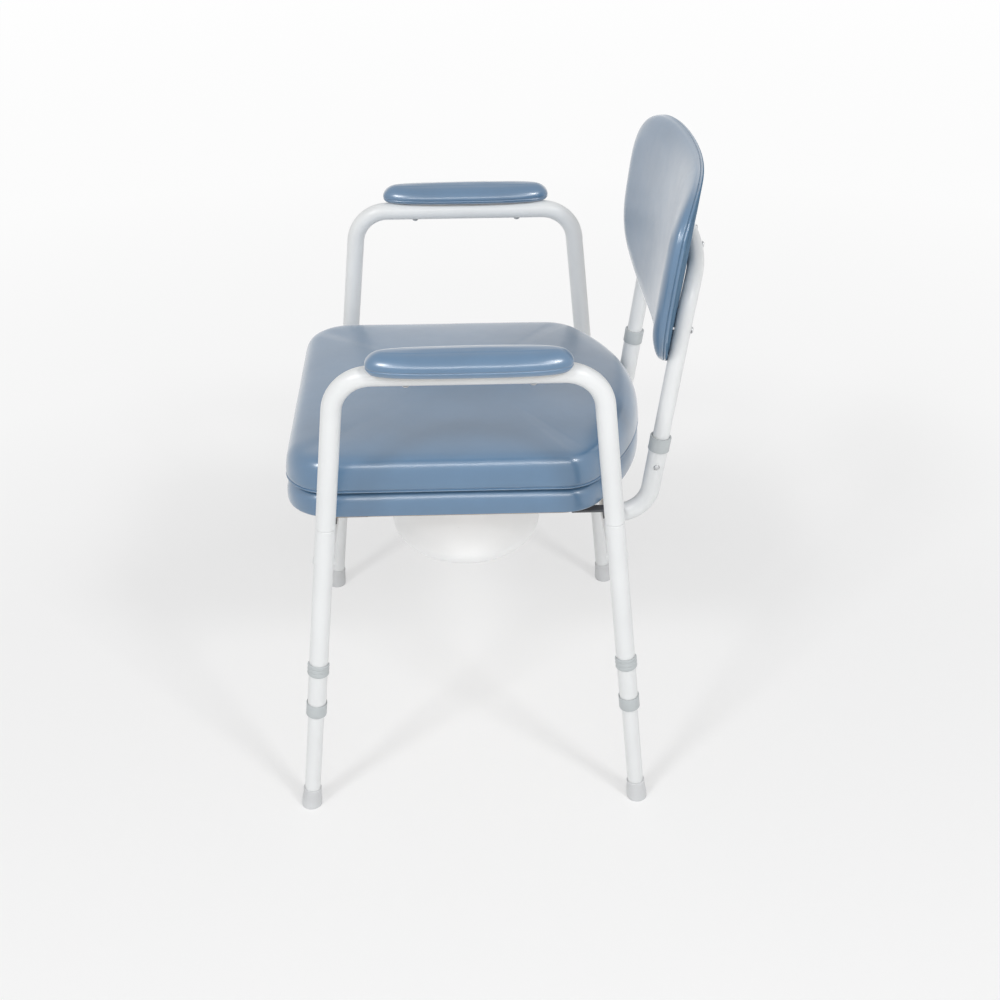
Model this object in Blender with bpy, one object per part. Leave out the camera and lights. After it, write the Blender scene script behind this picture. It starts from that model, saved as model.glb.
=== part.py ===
"""Commode chair: a tubular steel frame with telescoping legs, a lift-off padded
seat and lid, padded arms, a plug-in padded back and a slide-out pan.

Metres, +Z up. The sitter faces -Y and the sitter's left is +X. The origin is on
the floor, under the middle of the whole chair.
"""

import math

import bmesh
import bpy
from mathutils import Matrix, Vector

# Tube stock and fits
TUBE_OD = 0.0254
TUBE_WALL = 0.0014
FIT = 0.0003
INNER_WALL = 0.0015
TUBE_SIDES = 12
BEND_STEPS = 4
RING_SIDES = 12
ROUND_STEPS = 18
SHOULDER_STEPS = 4
BAR_STEPS = 6

# Side frames
SIDE_X = 0.276
FEET_MID_Y = -0.03575
FEET_SPAN = 0.463
FRONT_LEAN = math.radians(6.16)
REAR_LEAN = math.radians(5.69)
ARM_Z = 0.675
ARM_BEND = 0.050
ARM_SPLIT_Z = 0.4627
SPIGOT_LENGTH = 0.030
SPIGOT_ROOT = 0.012

# Telescoping legs
LEG_TUBE_END = 0.169
HOLE_PITCH = 0.025
HOLES_EACH_WAY = 3
CLIP_S = 0.2435
INNER_LEG_TOP = 0.328
INNER_LEG_FOOT = 0.010
FERRULE_HEIGHT = 0.0315
FERRULE_FOOT_R = 0.0142
FERRULE_TOP_R = 0.0122
FERRULE_EDGE = 0.0005
COLLAR_R = 0.0141
COLLAR_HEIGHT = 0.020
COLLAR_LIP = 0.004
COLLAR_EDGE = 0.0006
CLIP_BAND = 0.0013
CLIP_HEIGHT = 0.0185
CLIP_RIB = 0.0006
CLIP_RIBS = 3
CLIP_WRAP = math.radians(178)
PIN_R = 0.0032

# Cross tubes and the sockets for the back
CROSS_Z = 0.408
SOCKET_X = 0.1656
BACK_LEAN = math.radians(7.3)
BACK_BEHIND = 0.06015
BACK_LINE_Z = 0.500
SOCKET_BEND = 0.045
SOCKET_TOP_Z = 0.5205
POST_END_Z = 0.455
BACK_TOP_Z = 0.740
BACK_TUBE_BEND = 0.055
BUTTON_Z = 0.4835
BUTTON_R = 0.0036
BUTTON_PROUD = 0.0012
BUTTON_FLANGE = 0.0012
SPRING_STRIP = 0.0008
SPRING_WIDTH = 0.008
SPRING_LEG = 0.026

# Seat and lid, seen from above
SEAT_HALF_WIDTH = 0.220
SEAT_FRONT = 0.241
SEAT_REAR = 0.242
SEAT_FRONT_CORNER = 0.062
SEAT_REAR_CORNER = 0.060
SEAT_REAR_BOW = 0.310
SEAT_BOARD = 0.012
SEAT_BOARD_INSET = 0.022
SEAT_PAD = 0.0362
APERTURE_HALF_X = 0.095
APERTURE_HALF_Y = 0.120
APERTURE_AHEAD = 0.010
LID_BOARD = 0.006
LID_BOARD_INSET = 0.008
LID_PAD = 0.046
LID_CROWN = 0.007

# Saddles that sit on the cross tubes
SADDLE_WIDTH = 0.014
SADDLE_GAP = 0.001
SADDLE_WEB = 0.008
SADDLE_JAW = 0.005
SADDLE_LIP = 0.042
SADDLE_LIP_THICK = 0.003
SADDLE_EDGE = 0.0016
PEG_R = 0.0030
PEG_BITE = 0.0080

# Pan and the guides it hangs in
PAN_AHEAD = 0.004
PAN_BOTTOM_Z = 0.272
PAN_FLANGE = 0.016
PAN_WALL = 0.003
PAN_TOP_R = 0.119
PAN_FOOT_R = 0.108
PAN_ROUND = 0.042
GUIDE_LENGTH = 0.310
GUIDE_DROP = 0.018
GUIDE_THICK = 0.003
GUIDE_CLEARANCE = 0.0022
GUIDE_FOOT = 0.010
GUIDE_PEG_X = 0.120

# Arm pads
ARM_PAD_BACK = 0.0045
ARM_PAD_OUT = 0.010
ARM_PAD_HALF_LENGTH = 0.124
ARM_PAD_HALF_WIDTH = 0.027
ARM_PAD_POWER = 3.0
ARM_PAD = 0.027
ARM_PAD_CROWN = 0.0027
ARM_BOARD = 0.005
ARM_BOARD_INSET = 0.009
ARM_SCREW_SPREAD = 0.0765

# Back cushion, measured along its own slope
BACK_MID_Z = 0.7306
BACK_HALF_WIDTH = 0.214
BACK_HALF_HEIGHT = 0.1306
BACK_TOP_POWER = 4.1
BACK_FOOT_POWER = 2.65
BACK_FLARE = 0.02
BACK_WRAP = 0.0222
BACK_REST = 0.0007
BACK_PAD = 0.0232
BACK_CROWN = 0.003
BACK_EDGE = 0.0077
BACK_EDGE_ROUND = 0.0020
BACK_SHOULDER = 0.030
BACK_BOARD = 0.006
BACK_BOARD_INSET = 0.008
BACK_SCREW_DROP = 0.0536
BAR_SCREW_X = 0.030

# Sides of the flat cushions from rim to shoulder, as inset and share of the thickness
SQUARE_SIDE = (
    (0.0030, 0.0), (0.0012, 0.10), (0.0, 0.34), (0.0004, 0.62),
    (0.0030, 0.82), (0.0085, 0.945), (0.0160, 1.0),
)
ROUND_SIDE = (
    (0.0050, 0.0), (0.0016, 0.10), (0.0, 0.26), (0.0010, 0.46),
    (0.0042, 0.68), (0.0095, 0.87), (0.0160, 1.0),
)
PANEL_SHARES = (0.05, 0.30, 0.55, 0.80)

# Screws
SCREW_R = 0.0025
SCREW_HEAD_R = 0.0045
SCREW_HEAD = 0.0022
SCREW_BITE = 0.0038

TUBE_R = TUBE_OD / 2
BORE_R = TUBE_R - TUBE_WALL
INNER_R = BORE_R - FIT
INNER_BORE_R = INNER_R - INNER_WALL
FRONT_FOOT_Y = FEET_MID_Y - FEET_SPAN / 2
REAR_FOOT_Y = FEET_MID_Y + FEET_SPAN / 2
SEAT_FRONT_Y = FEET_MID_Y - SEAT_FRONT
SEAT_REAR_Y = FEET_MID_Y + SEAT_REAR
APERTURE_Y = FEET_MID_Y - APERTURE_AHEAD
PAN_Y = FEET_MID_Y - PAN_AHEAD
PAN_FLANGE_R = PAN_TOP_R + PAN_FLANGE
GUIDE_LEDGE = PAN_FLANGE - GUIDE_CLEARANCE
ARM_PAD_Y = FEET_MID_Y + ARM_PAD_BACK
HOLE_R = PIN_R + FIT
SIDES = {"left": 1, "right": -1}
ENDS = {"front": (FRONT_FOOT_Y, FRONT_LEAN), "rear": (REAR_FOOT_Y, -REAR_LEAN)}
REAR_CROSS_Y = REAR_FOOT_Y - math.tan(REAR_LEAN) * CROSS_Z
BACK_LINE_Y = REAR_CROSS_Y + BACK_BEHIND

SADDLE_X = SOCKET_X + TUBE_R + SADDLE_GAP + SADDLE_WIDTH / 2
CROSS_TOP = CROSS_Z + TUBE_R
BOARD_Z = CROSS_TOP + FIT + SADDLE_WEB
SEAT_Z = BOARD_Z + SEAT_BOARD + FIT
LID_Z = SEAT_Z + SEAT_PAD + FIT


def clear_scene():
    for obj in list(bpy.data.objects):
        bpy.data.objects.remove(obj, do_unlink=True)


def make_material(name, colour, roughness, metallic=0.0):
    material = bpy.data.materials.new(name)
    material.use_nodes = True
    shader = material.node_tree.nodes["Principled BSDF"]
    shader.inputs["Base Color"].default_value = (*colour, 1.0)
    shader.inputs["Roughness"].default_value = roughness
    shader.inputs["Metallic"].default_value = metallic
    return material


def add_object(name, bm, material, parent=None, matrix=None):
    bmesh.ops.recalc_face_normals(bm, faces=bm.faces)
    mesh = bpy.data.meshes.new(name)
    bm.to_mesh(mesh)
    bm.free()
    mesh.shade_smooth()
    mesh.set_sharp_from_angle(angle=math.radians(35))
    obj = bpy.data.objects.new(name, mesh)
    bpy.context.scene.collection.objects.link(obj)
    if material:
        obj.data.materials.append(material)
    if parent:
        obj.parent = parent
    if matrix is not None:
        obj.matrix_local = matrix
    return obj


def add_empty(name, matrix):
    empty = bpy.data.objects.new(name, None)
    bpy.context.scene.collection.objects.link(empty)
    empty.matrix_world = matrix
    return empty


def as_tool(obj):
    obj.hide_render = True
    obj.display_type = "WIRE"
    return obj


def combine(target, tool, operation):
    boolean = target.modifiers.new(operation.lower(), "BOOLEAN")
    boolean.operation = operation
    boolean.object = tool
    return target


def lathe(bm, profile, sides, matrix=None):
    """Turn a profile of (radius, height) pairs about Z. A profile that starts and
    ends on the axis makes a full body, any other profile makes a ring."""
    matrix = matrix or Matrix()
    rows = []
    for radius, height in profile:
        if radius == 0.0:
            rows.append([bm.verts.new(matrix @ Vector((0, 0, height)))])
            continue
        row = []
        for step in range(sides):
            turn = math.tau * (step + 0.5) / sides
            point = Vector((radius * math.cos(turn), radius * math.sin(turn), height))
            row.append(bm.verts.new(matrix @ point))
        rows.append(row)
    full = profile[0][0] == 0.0
    pairs = list(zip(rows, rows[1:]))
    if not full:
        pairs.append((rows[-1], rows[0]))
    for low, high in pairs:
        for step in range(sides):
            after = (step + 1) % sides
            if len(low) == 1:
                bm.faces.new((low[0], high[after], high[step]))
            elif len(high) == 1:
                bm.faces.new((low[step], low[after], high[0]))
            else:
                bm.faces.new((low[step], low[after], high[after], high[step]))
    return bm


def loft(bm, loops, ring=False):
    """Skin a list of loops. A ring joins the last loop to the first, and a full
    body closes its first and last loops with a face each."""
    rows = [[bm.verts.new(point) for point in loop] for loop in loops]
    pairs = list(zip(rows, rows[1:]))
    if ring:
        pairs.append((rows[-1], rows[0]))
    for low, high in pairs:
        count = len(low)
        for step in range(count):
            after = (step + 1) % count
            bm.faces.new((low[step], low[after], high[after], high[step]))
    if not ring:
        bm.faces.new(list(reversed(rows[0])))
        bm.faces.new(rows[-1])
    return bm


def rounded_path(corners, radius, steps):
    """A polyline whose inner corners are arcs of one radius."""
    path = [Vector(corners[0])]
    for before, corner, after in zip(corners, corners[1:], corners[2:]):
        corner = Vector(corner)
        come = (corner - Vector(before)).normalized()
        leave = (Vector(after) - corner).normalized()
        turn = come.angle(leave)
        reach = radius * math.tan(turn / 2)
        bisector = (leave - come).normalized()
        centre = corner + bisector * (radius / math.cos(turn / 2))
        start = corner - come * reach
        normal = come.cross(leave).normalized()
        for step in range(steps + 1):
            spin = Matrix.Rotation(turn * step / steps, 3, normal)
            path.append(centre + spin @ (start - centre))
    path.append(Vector(corners[-1]))
    return path


def sweep_tube(bm, path, normal, outer, inner, sides=TUBE_SIDES):
    """A hollow tube along a path, flat or nearly so, with square open ends."""
    normal = Vector(normal).normalized()
    outer_rows = []
    inner_rows = []
    last = len(path) - 1
    for index, point in enumerate(path):
        ahead = (path[min(index + 1, last)] - path[max(index - 1, 0)]).normalized()
        if 0 < index < last:
            come = (point - path[index - 1]).normalized()
            leave = (path[index + 1] - point).normalized()
            ahead = (come + leave).normalized()
        up = (normal - ahead * normal.dot(ahead)).normalized()
        side = up.cross(ahead)
        for rows, radius in ((outer_rows, outer), (inner_rows, inner)):
            row = []
            for step in range(sides):
                turn = math.tau * (step + 0.5) / sides
                offset = up * math.cos(turn) + side * math.sin(turn)
                row.append(bm.verts.new(point + offset * radius))
            rows.append(row)
    rows = outer_rows + inner_rows[::-1]
    for low, high in list(zip(rows, rows[1:])) + [(rows[-1], rows[0])]:
        for step in range(sides):
            after = (step + 1) % sides
            bm.faces.new((low[step], low[after], high[after], high[step]))
    return bm


def sweep_rod(bm, start, end, radius, sides=TUBE_SIDES):
    """A straight round rod between two points."""
    start = Vector(start)
    along = Vector(end) - start
    turn = along.to_track_quat("Z", "Y").to_matrix().to_4x4()
    matrix = Matrix.Translation(start) @ turn
    length = along.length
    return lathe(bm, [(0.0, 0.0), (radius, 0.0), (radius, length), (0.0, length)], sides, matrix)


def screw(bm, seat, direction, length):
    """A pan-head screw whose head bears at seat and whose shank runs along direction."""
    direction = Vector(direction).normalized()
    turn = direction.to_track_quat("Z", "Y").to_matrix().to_4x4()
    matrix = Matrix.Translation(Vector(seat)) @ turn
    edge = SCREW_HEAD * 0.45
    profile = [
        (0.0, -SCREW_HEAD), (SCREW_HEAD_R * 0.7, -SCREW_HEAD), (SCREW_HEAD_R, -edge),
        (SCREW_HEAD_R, 0.0), (SCREW_R, 0.0), (SCREW_R, length), (0.0, length),
    ]
    return lathe(bm, profile, 8, matrix)


def arc(centre, radius, start, end, steps):
    points = []
    for step in range(steps + 1):
        turn = start + (end - start) * step / steps
        points.append((centre[0] + radius * math.cos(turn), centre[1] + radius * math.sin(turn)))
    return points


def mirrored(half):
    """Close a right-hand half outline whose first and last points are on the axis."""
    return half + [(-x, y) for x, y in half[-2:0:-1]]


def seat_outline(inset):
    """The plan of the seat: straight front, round corners and a bowed rear."""
    half = SEAT_HALF_WIDTH - inset
    front = SEAT_FRONT_Y + inset
    rear = SEAT_REAR_Y - inset
    corner = SEAT_FRONT_CORNER - inset
    back = SEAT_REAR_CORNER - inset
    bow = SEAT_REAR_BOW - inset
    bow_y = rear - bow
    reach = half - back
    back_y = bow_y + math.sqrt((bow - back) ** 2 - reach ** 2)
    meet = math.atan2(back_y - bow_y, reach)
    right = [(0.0, front), ((half - corner) / 2, front)]
    right += arc((half - corner, front + corner), corner, -math.pi / 2, 0.0, 6)
    right += [(half, (front + corner + back_y) / 2)]
    right += arc((reach, back_y), back, 0.0, meet, 5)
    right += arc((0.0, bow_y), bow, meet, math.pi / 2, 5)[1:]
    right[-1] = (0.0, rear)
    return mirrored(right)


def round_outline(half_x, half_y, low_power, high_power):
    """A superellipse about the middle, whose lower and upper halves have their own power."""
    right = []
    for step in range(ROUND_STEPS + 1):
        turn = math.pi * (step / ROUND_STEPS - 0.5)
        power = high_power if turn > 0 else low_power
        reach = (math.cos(turn) ** power + abs(math.sin(turn)) ** power) ** (-1 / power)
        right.append((half_x * reach * math.cos(turn), half_y * reach * math.sin(turn)))
    return mirrored(right)


def arm_outline(inset):
    """An arm pad's plan, long in Y, with softly pointed ends."""
    half_width = ARM_PAD_HALF_WIDTH - inset
    half_length = ARM_PAD_HALF_LENGTH - inset
    return round_outline(half_width, half_length, ARM_PAD_POWER, ARM_PAD_POWER)


def back_outline(inset):
    """The face of the back cushion: square shoulders, round foot, a little wider at the top."""
    half_height = BACK_HALF_HEIGHT - inset
    plain = round_outline(BACK_HALF_WIDTH - inset, half_height, BACK_FOOT_POWER, BACK_TOP_POWER)
    return [(x * (1 + BACK_FLARE * y / half_height), y) for x, y in plain]


def at_height(outline, z):
    return [Vector((x, y, z)) for x, y in outline]


def shrunk(outline, factor):
    middle_y = (min(y for x, y in outline) + max(y for x, y in outline)) / 2
    return [(x * factor, middle_y + (y - middle_y) * factor) for x, y in outline]


def aperture(outline, grow):
    """Points of the seat opening, one on the ray through each point of an outline."""
    points = []
    for x, y in outline:
        turn = math.atan2((y - APERTURE_Y) / APERTURE_HALF_Y, x / APERTURE_HALF_X)
        px = (APERTURE_HALF_X + grow) * math.cos(turn)
        py = APERTURE_Y + (APERTURE_HALF_Y + grow) * math.sin(turn)
        points.append((px, py))
    return points


def padded_loops(outline, side, thick, crown, pocket_inset, pocket_depth):
    """Loops of a cushion that wraps the board in its underside: the pocket first,
    then the side from rim to shoulder, and the crown."""
    wall = pocket_inset - FIT
    loops = [at_height(outline(wall), pocket_depth + FIT), at_height(outline(wall), 0.0)]
    loops += [at_height(outline(inset), thick * share) for inset, share in side]
    shoulder = outline(side[-1][0])
    for factor in (0.80, 0.55, 0.28):
        rise = crown * (1 - factor ** 2)
        loops.append(at_height(shrunk(shoulder, factor), thick + rise))
    return loops


def panel_loops(outline, z, crown=0.0):
    """Loops that fill an outline from its middle outwards."""
    return [at_height(shrunk(outline, share), z + crown * (1 - share ** 2)) for share in PANEL_SHARES]


def wrap_depth(x):
    """How far the back stands behind the line across the fronts of its posts."""
    return BACK_WRAP * (1 - (x / SOCKET_X) ** 2)


def wrapped_loft(bm, loops):
    """Skin flat loops, bend them round the sitter and crease each facet up the back."""
    loft(bm, loops)
    for face in [face for face in bm.faces if len(face.verts) == 4]:
        a, b, c, d = face.verts
        across = abs(a.co.x ** 2 - c.co.x ** 2) <= abs(b.co.x ** 2 - d.co.x ** 2)
        start, end = (a, c) if across else (b, d)
        bmesh.utils.face_split(face, start, end)
    for vert in bm.verts:
        vert.co.z -= wrap_depth(vert.co.x)


def leg_place(end, side):
    """The empty at a foot, with its Z axis up along the leg."""
    foot_y, lean = ENDS[end]
    turn = Matrix.Rotation(-lean, 4, "X")
    if side < 0:
        turn = turn @ Matrix.Rotation(math.pi, 4, "Z")
    return Matrix.Translation((side * SIDE_X, foot_y, 0.0)) @ turn


def leg_point(end, z):
    """Where a leg's axis is at one height, in the side frame's own Y and Z."""
    foot_y, lean = ENDS[end]
    return foot_y + math.tan(lean) * z


def along_leg(end, z):
    return z / math.cos(ENDS[end][1])


def build_leg(end, side_name, looks):
    side = SIDES[side_name]
    label = f"{end}_{side_name}"
    frame = add_empty(f"leg_axis_{label}", leg_place(end, side))
    split = along_leg(end, ARM_SPLIT_Z)

    bm = bmesh.new()
    path = [Vector((0, 0, LEG_TUBE_END)), Vector((0, 0, split - FIT / 2))]
    sweep_tube(bm, path, (1, 0, 0), TUBE_R, BORE_R)
    leg_tube = add_object(f"leg_tube_{label}", bm, looks["white_coat"], frame)

    bm = bmesh.new()
    path = [Vector((0, 0, INNER_LEG_FOOT)), Vector((0, 0, INNER_LEG_TOP))]
    sweep_tube(bm, path, (1, 0, 0), INNER_R, INNER_BORE_R)
    extension = add_object(f"leg_extension_{label}", bm, looks["white_coat"], frame)

    bm = bmesh.new()
    for step in range(-HOLES_EACH_WAY, HOLES_EACH_WAY + 1):
        s = CLIP_S + step * HOLE_PITCH
        sweep_rod(bm, (INNER_BORE_R / 2, 0, s), (TUBE_R, 0, s), HOLE_R, 8)
    combine(extension, as_tool(add_object(f"pin_holes_{label}", bm, None, frame)), "DIFFERENCE")

    bm = bmesh.new()
    sweep_rod(bm, (INNER_BORE_R / 2, 0, CLIP_S), (TUBE_R * 2, 0, CLIP_S), HOLE_R, 10)
    combine(leg_tube, as_tool(add_object(f"clip_hole_{label}", bm, None, frame)), "DIFFERENCE")

    build_ferrule(label, frame, ENDS[end][1] * side, looks)
    bm = bmesh.new()
    lathe(bm, collar_profile(TUBE_R, INNER_R), RING_SIDES)
    place = Matrix.Translation((0, 0, LEG_TUBE_END - FIT - COLLAR_LIP))
    add_object(f"leg_collar_{label}", bm, looks["grey_plastic"], frame, place)
    build_clip(label, frame, looks)


def collar_profile(outer, inner):
    """A bush that caps a tube's end and guides the thinner tube through its lip."""
    lip = COLLAR_LIP
    edge = COLLAR_EDGE
    return [
        (inner + FIT, 0.0), (COLLAR_R - edge, 0.0), (COLLAR_R, edge),
        (COLLAR_R, COLLAR_HEIGHT - edge), (COLLAR_R - edge, COLLAR_HEIGHT),
        (outer + FIT, COLLAR_HEIGHT), (outer + FIT, lip), (inner + FIT, lip),
    ]


def build_ferrule(label, frame, lean, looks):
    """A rubber foot, cut flat where it meets the floor."""
    reach = 0.006
    bm = bmesh.new()
    bore = INNER_R + FIT
    profile = [
        (0.0, -reach), (FERRULE_FOOT_R, -reach), (FERRULE_FOOT_R, 0.007),
        (FERRULE_TOP_R, FERRULE_HEIGHT - FERRULE_EDGE),
        (FERRULE_TOP_R - FERRULE_EDGE, FERRULE_HEIGHT), (bore, FERRULE_HEIGHT),
        (bore, INNER_LEG_FOOT - FIT), (0.0, INNER_LEG_FOOT - FIT),
    ]
    lathe(bm, profile, RING_SIDES)
    floor_normal = Matrix.Rotation(lean, 3, "X") @ Vector((0, 0, 1))
    geometry = bm.verts[:] + bm.edges[:] + bm.faces[:]
    cut = bmesh.ops.bisect_plane(
        bm, geom=geometry, plane_co=(0, 0, 0), plane_no=floor_normal, clear_inner=True)
    edges = [item for item in cut["geom_cut"] if isinstance(item, bmesh.types.BMEdge)]
    bmesh.ops.contextual_create(bm, geom=edges)
    add_object(f"ferrule_{label}", bm, looks["grey_rubber"], frame)


def build_clip(label, frame, looks):
    """A ribbed half band round the outer tube, with a pin through both tubes."""
    inner = TUBE_R + FIT
    outer = inner + CLIP_BAND
    pitch = CLIP_HEIGHT / CLIP_RIBS
    profile = [(inner, 0.0)]
    for rib in range(CLIP_RIBS):
        base = rib * pitch
        profile += [
            (outer, base + pitch * 0.08), (outer + CLIP_RIB, base + pitch * 0.28),
            (outer + CLIP_RIB, base + pitch * 0.72), (outer, base + pitch * 0.92),
        ]
    profile.append((inner, CLIP_HEIGHT))
    steps = 10
    loops = []
    for step in range(steps + 1):
        turn = CLIP_WRAP * (step / steps - 0.5)
        ahead = Vector((math.cos(turn), math.sin(turn), 0))
        loops.append([ahead * r + Vector((0, 0, h)) for r, h in profile])
    bm = bmesh.new()
    loft(bm, loops)
    place = Matrix.Translation((0, 0, CLIP_S - CLIP_HEIGHT / 2))
    clip = add_object(f"leg_clip_{label}", bm, looks["grey_plastic"], frame, place)
    bm = bmesh.new()
    sweep_rod(bm, (INNER_BORE_R * 0.6, 0, CLIP_S), (inner + CLIP_BAND / 2, 0, CLIP_S), PIN_R, 10)
    combine(clip, as_tool(add_object(f"clip_pin_{label}", bm, None, frame)), "UNION")


def build_arm(side_name, looks):
    side = SIDES[side_name]
    x = side * SIDE_X
    ends = []
    for end in ("front", "rear"):
        start_z = ARM_SPLIT_Z + FIT / 2 * math.cos(ENDS[end][1])
        ends.append((Vector((x, leg_point(end, start_z), start_z)),
                     Vector((x, leg_point(end, ARM_Z), ARM_Z))))
    corners = [ends[0][0], ends[0][1], ends[1][1], ends[1][0]]
    bm = bmesh.new()
    sweep_tube(bm, rounded_path(corners, ARM_BEND, BEND_STEPS), (1, 0, 0), TUBE_R, BORE_R)
    loop = add_object(f"arm_loop_{side_name}", bm, looks["white_coat"])
    build_spigots(side_name, loop)

    board_z = ARM_Z + TUBE_R + FIT
    pad_x = x + side * ARM_PAD_OUT
    place = Matrix.Translation((pad_x, ARM_PAD_Y, board_z))

    bm = bmesh.new()
    outline = arm_outline(ARM_BOARD_INSET)
    loft(bm, [at_height(outline, 0.0), at_height(outline, ARM_BOARD)])
    board = add_object(f"arm_board_{side_name}", bm, looks["plywood"], None, place)

    bm = bmesh.new()
    thick = ARM_PAD - ARM_PAD_CROWN
    loft(bm, padded_loops(arm_outline, ROUND_SIDE, thick, ARM_PAD_CROWN, ARM_BOARD_INSET, ARM_BOARD))
    add_object(f"arm_pad_{side_name}", bm, looks["blue_vinyl"], None, place)

    bm = bmesh.new()
    for offset in (-ARM_SCREW_SPREAD, ARM_SCREW_SPREAD):
        y = ARM_PAD_Y + offset
        low = (x, y, ARM_Z - TUBE_OD)
        sweep_rod(bm, low, (x, y, board_z + SCREW_BITE + FIT), SCREW_R + FIT, 10)
    holes = as_tool(add_object(f"arm_screw_holes_{side_name}", bm, None))
    combine(loop, holes, "DIFFERENCE")
    combine(board, holes, "DIFFERENCE")


def build_arm_screws(looks):
    length = TUBE_OD + 2 * FIT + SCREW_BITE
    for side_name, side in SIDES.items():
        for end, offset in (("front", -ARM_SCREW_SPREAD), ("rear", ARM_SCREW_SPREAD)):
            seat = (side * SIDE_X, ARM_PAD_Y + offset, ARM_Z - TUBE_R - FIT)
            bm = bmesh.new()
            screw(bm, seat, (0, 0, 1), length)
            add_object(f"arm_screw_{end}_{side_name}", bm, looks["zinc_steel"])


def build_spigots(side_name, loop):
    """The reduced ends of an arm loop that plug into its leg tubes."""
    bm = bmesh.new()
    grip = BORE_R + TUBE_WALL / 3
    profile = [
        (INNER_BORE_R, -SPIGOT_LENGTH), (INNER_R, -SPIGOT_LENGTH), (INNER_R, TUBE_WALL),
        (grip, TUBE_WALL), (grip, SPIGOT_ROOT), (INNER_BORE_R, SPIGOT_ROOT),
    ]
    for end, (foot_y, lean) in ENDS.items():
        middle = (SIDES[side_name] * SIDE_X, leg_point(end, ARM_SPLIT_Z), ARM_SPLIT_Z)
        lathe(bm, profile, TUBE_SIDES, Matrix.Translation(middle) @ Matrix.Rotation(-lean, 4, "X"))
    combine(loop, as_tool(add_object(f"arm_spigots_{side_name}", bm, None)), "UNION")


def build_cross_tube(end, looks):
    """A tube between the legs, with its ends mitred round them."""
    y = leg_point(end, CROSS_Z)
    bm = bmesh.new()
    path = [Vector((-SIDE_X, y, CROSS_Z)), Vector((SIDE_X, y, CROSS_Z))]
    sweep_tube(bm, path, (0, 1, 0), TUBE_R, BORE_R)
    tube = add_object(f"{end}_cross_tube", bm, looks["white_coat"])
    foot_y, lean = ENDS[end]
    up = Vector((0, math.sin(lean), math.cos(lean))) * (TUBE_OD * 2)
    bm = bmesh.new()
    for side in SIDES.values():
        middle = Vector((side * SIDE_X, y, CROSS_Z))
        sweep_rod(bm, middle - up, middle + up, TUBE_R + FIT, 24)
    combine(tube, as_tool(add_object(f"{end}_cross_mitre", bm, None)), "DIFFERENCE")


def back_y(z):
    """The Y of the back posts' axis at one height."""
    return BACK_LINE_Y + math.tan(BACK_LEAN) * (z - BACK_LINE_Z)


def back_place(x, z):
    """A frame on a back post: Z up the post and Y backwards from the cushion."""
    turn = Matrix.Rotation(-BACK_LEAN, 4, "X")
    return Matrix.Translation((x, back_y(z), z)) @ turn


def build_back_socket(side_name, looks):
    """A J-shaped tube from the rear cross tube up to a collar."""
    x = SIDES[side_name] * SOCKET_X
    cross_y = leg_point("rear", CROSS_Z)
    corners = [
        (x, back_y(SOCKET_TOP_Z), SOCKET_TOP_Z), (x, back_y(CROSS_Z), CROSS_Z), (x, cross_y, CROSS_Z),
    ]
    bm = bmesh.new()
    sweep_tube(bm, rounded_path(corners, SOCKET_BEND, BEND_STEPS), (1, 0, 0), TUBE_R, BORE_R)
    socket = add_object(f"back_socket_{side_name}", bm, looks["white_coat"])

    bm = bmesh.new()
    sweep_rod(bm, (x - TUBE_OD, cross_y, CROSS_Z), (x + TUBE_OD, cross_y, CROSS_Z), TUBE_R + FIT, 24)
    mitre = as_tool(add_object(f"back_socket_mitre_{side_name}", bm, None))
    combine(socket, mitre, "DIFFERENCE")

    bm = bmesh.new()
    out = SIDES[side_name] * TUBE_OD
    y = back_y(BUTTON_Z)
    start = (x + out * 0.2, y, BUTTON_Z)
    sweep_rod(bm, start, (x + out, y, BUTTON_Z), BUTTON_R + FIT, 12)
    hole = as_tool(add_object(f"button_hole_{side_name}", bm, None))
    combine(socket, hole, "DIFFERENCE")

    bm = bmesh.new()
    lathe(bm, collar_profile(TUBE_R, INNER_R), RING_SIDES)
    upside_down = Matrix.Rotation(math.pi, 4, "X")
    place = back_place(x, SOCKET_TOP_Z) @ Matrix.Translation((0, 0, COLLAR_LIP + FIT)) @ upside_down
    add_object(f"back_collar_{side_name}", bm, looks["grey_plastic"], None, place)
    return hole


def build_back_tube(button_holes, looks):
    """An inverted U whose ends plug into the sockets and whose bar follows the board."""
    corners = []
    for x, z in ((1, POST_END_Z), (1, BACK_TOP_Z), (-1, BACK_TOP_Z), (-1, POST_END_Z)):
        corners.append((x * SOCKET_X, back_y(z), z))
    normal = Matrix.Rotation(-BACK_LEAN, 3, "X") @ Vector((0, 1, 0))
    path = rounded_path(corners, BACK_TUBE_BEND, BEND_STEPS)
    middle = len(path) // 2
    start, end = path[middle - 1], path[middle]
    path[middle:middle] = [start.lerp(end, step / BAR_STEPS) for step in range(1, BAR_STEPS)]
    path = [point + normal * wrap_depth(point.x) for point in path]
    bm = bmesh.new()
    sweep_tube(bm, path, normal, INNER_R, INNER_BORE_R)
    tube = add_object("back_tube", bm, looks["white_coat"])
    for hole in button_holes:
        combine(tube, hole, "DIFFERENCE")
    return tube


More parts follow.
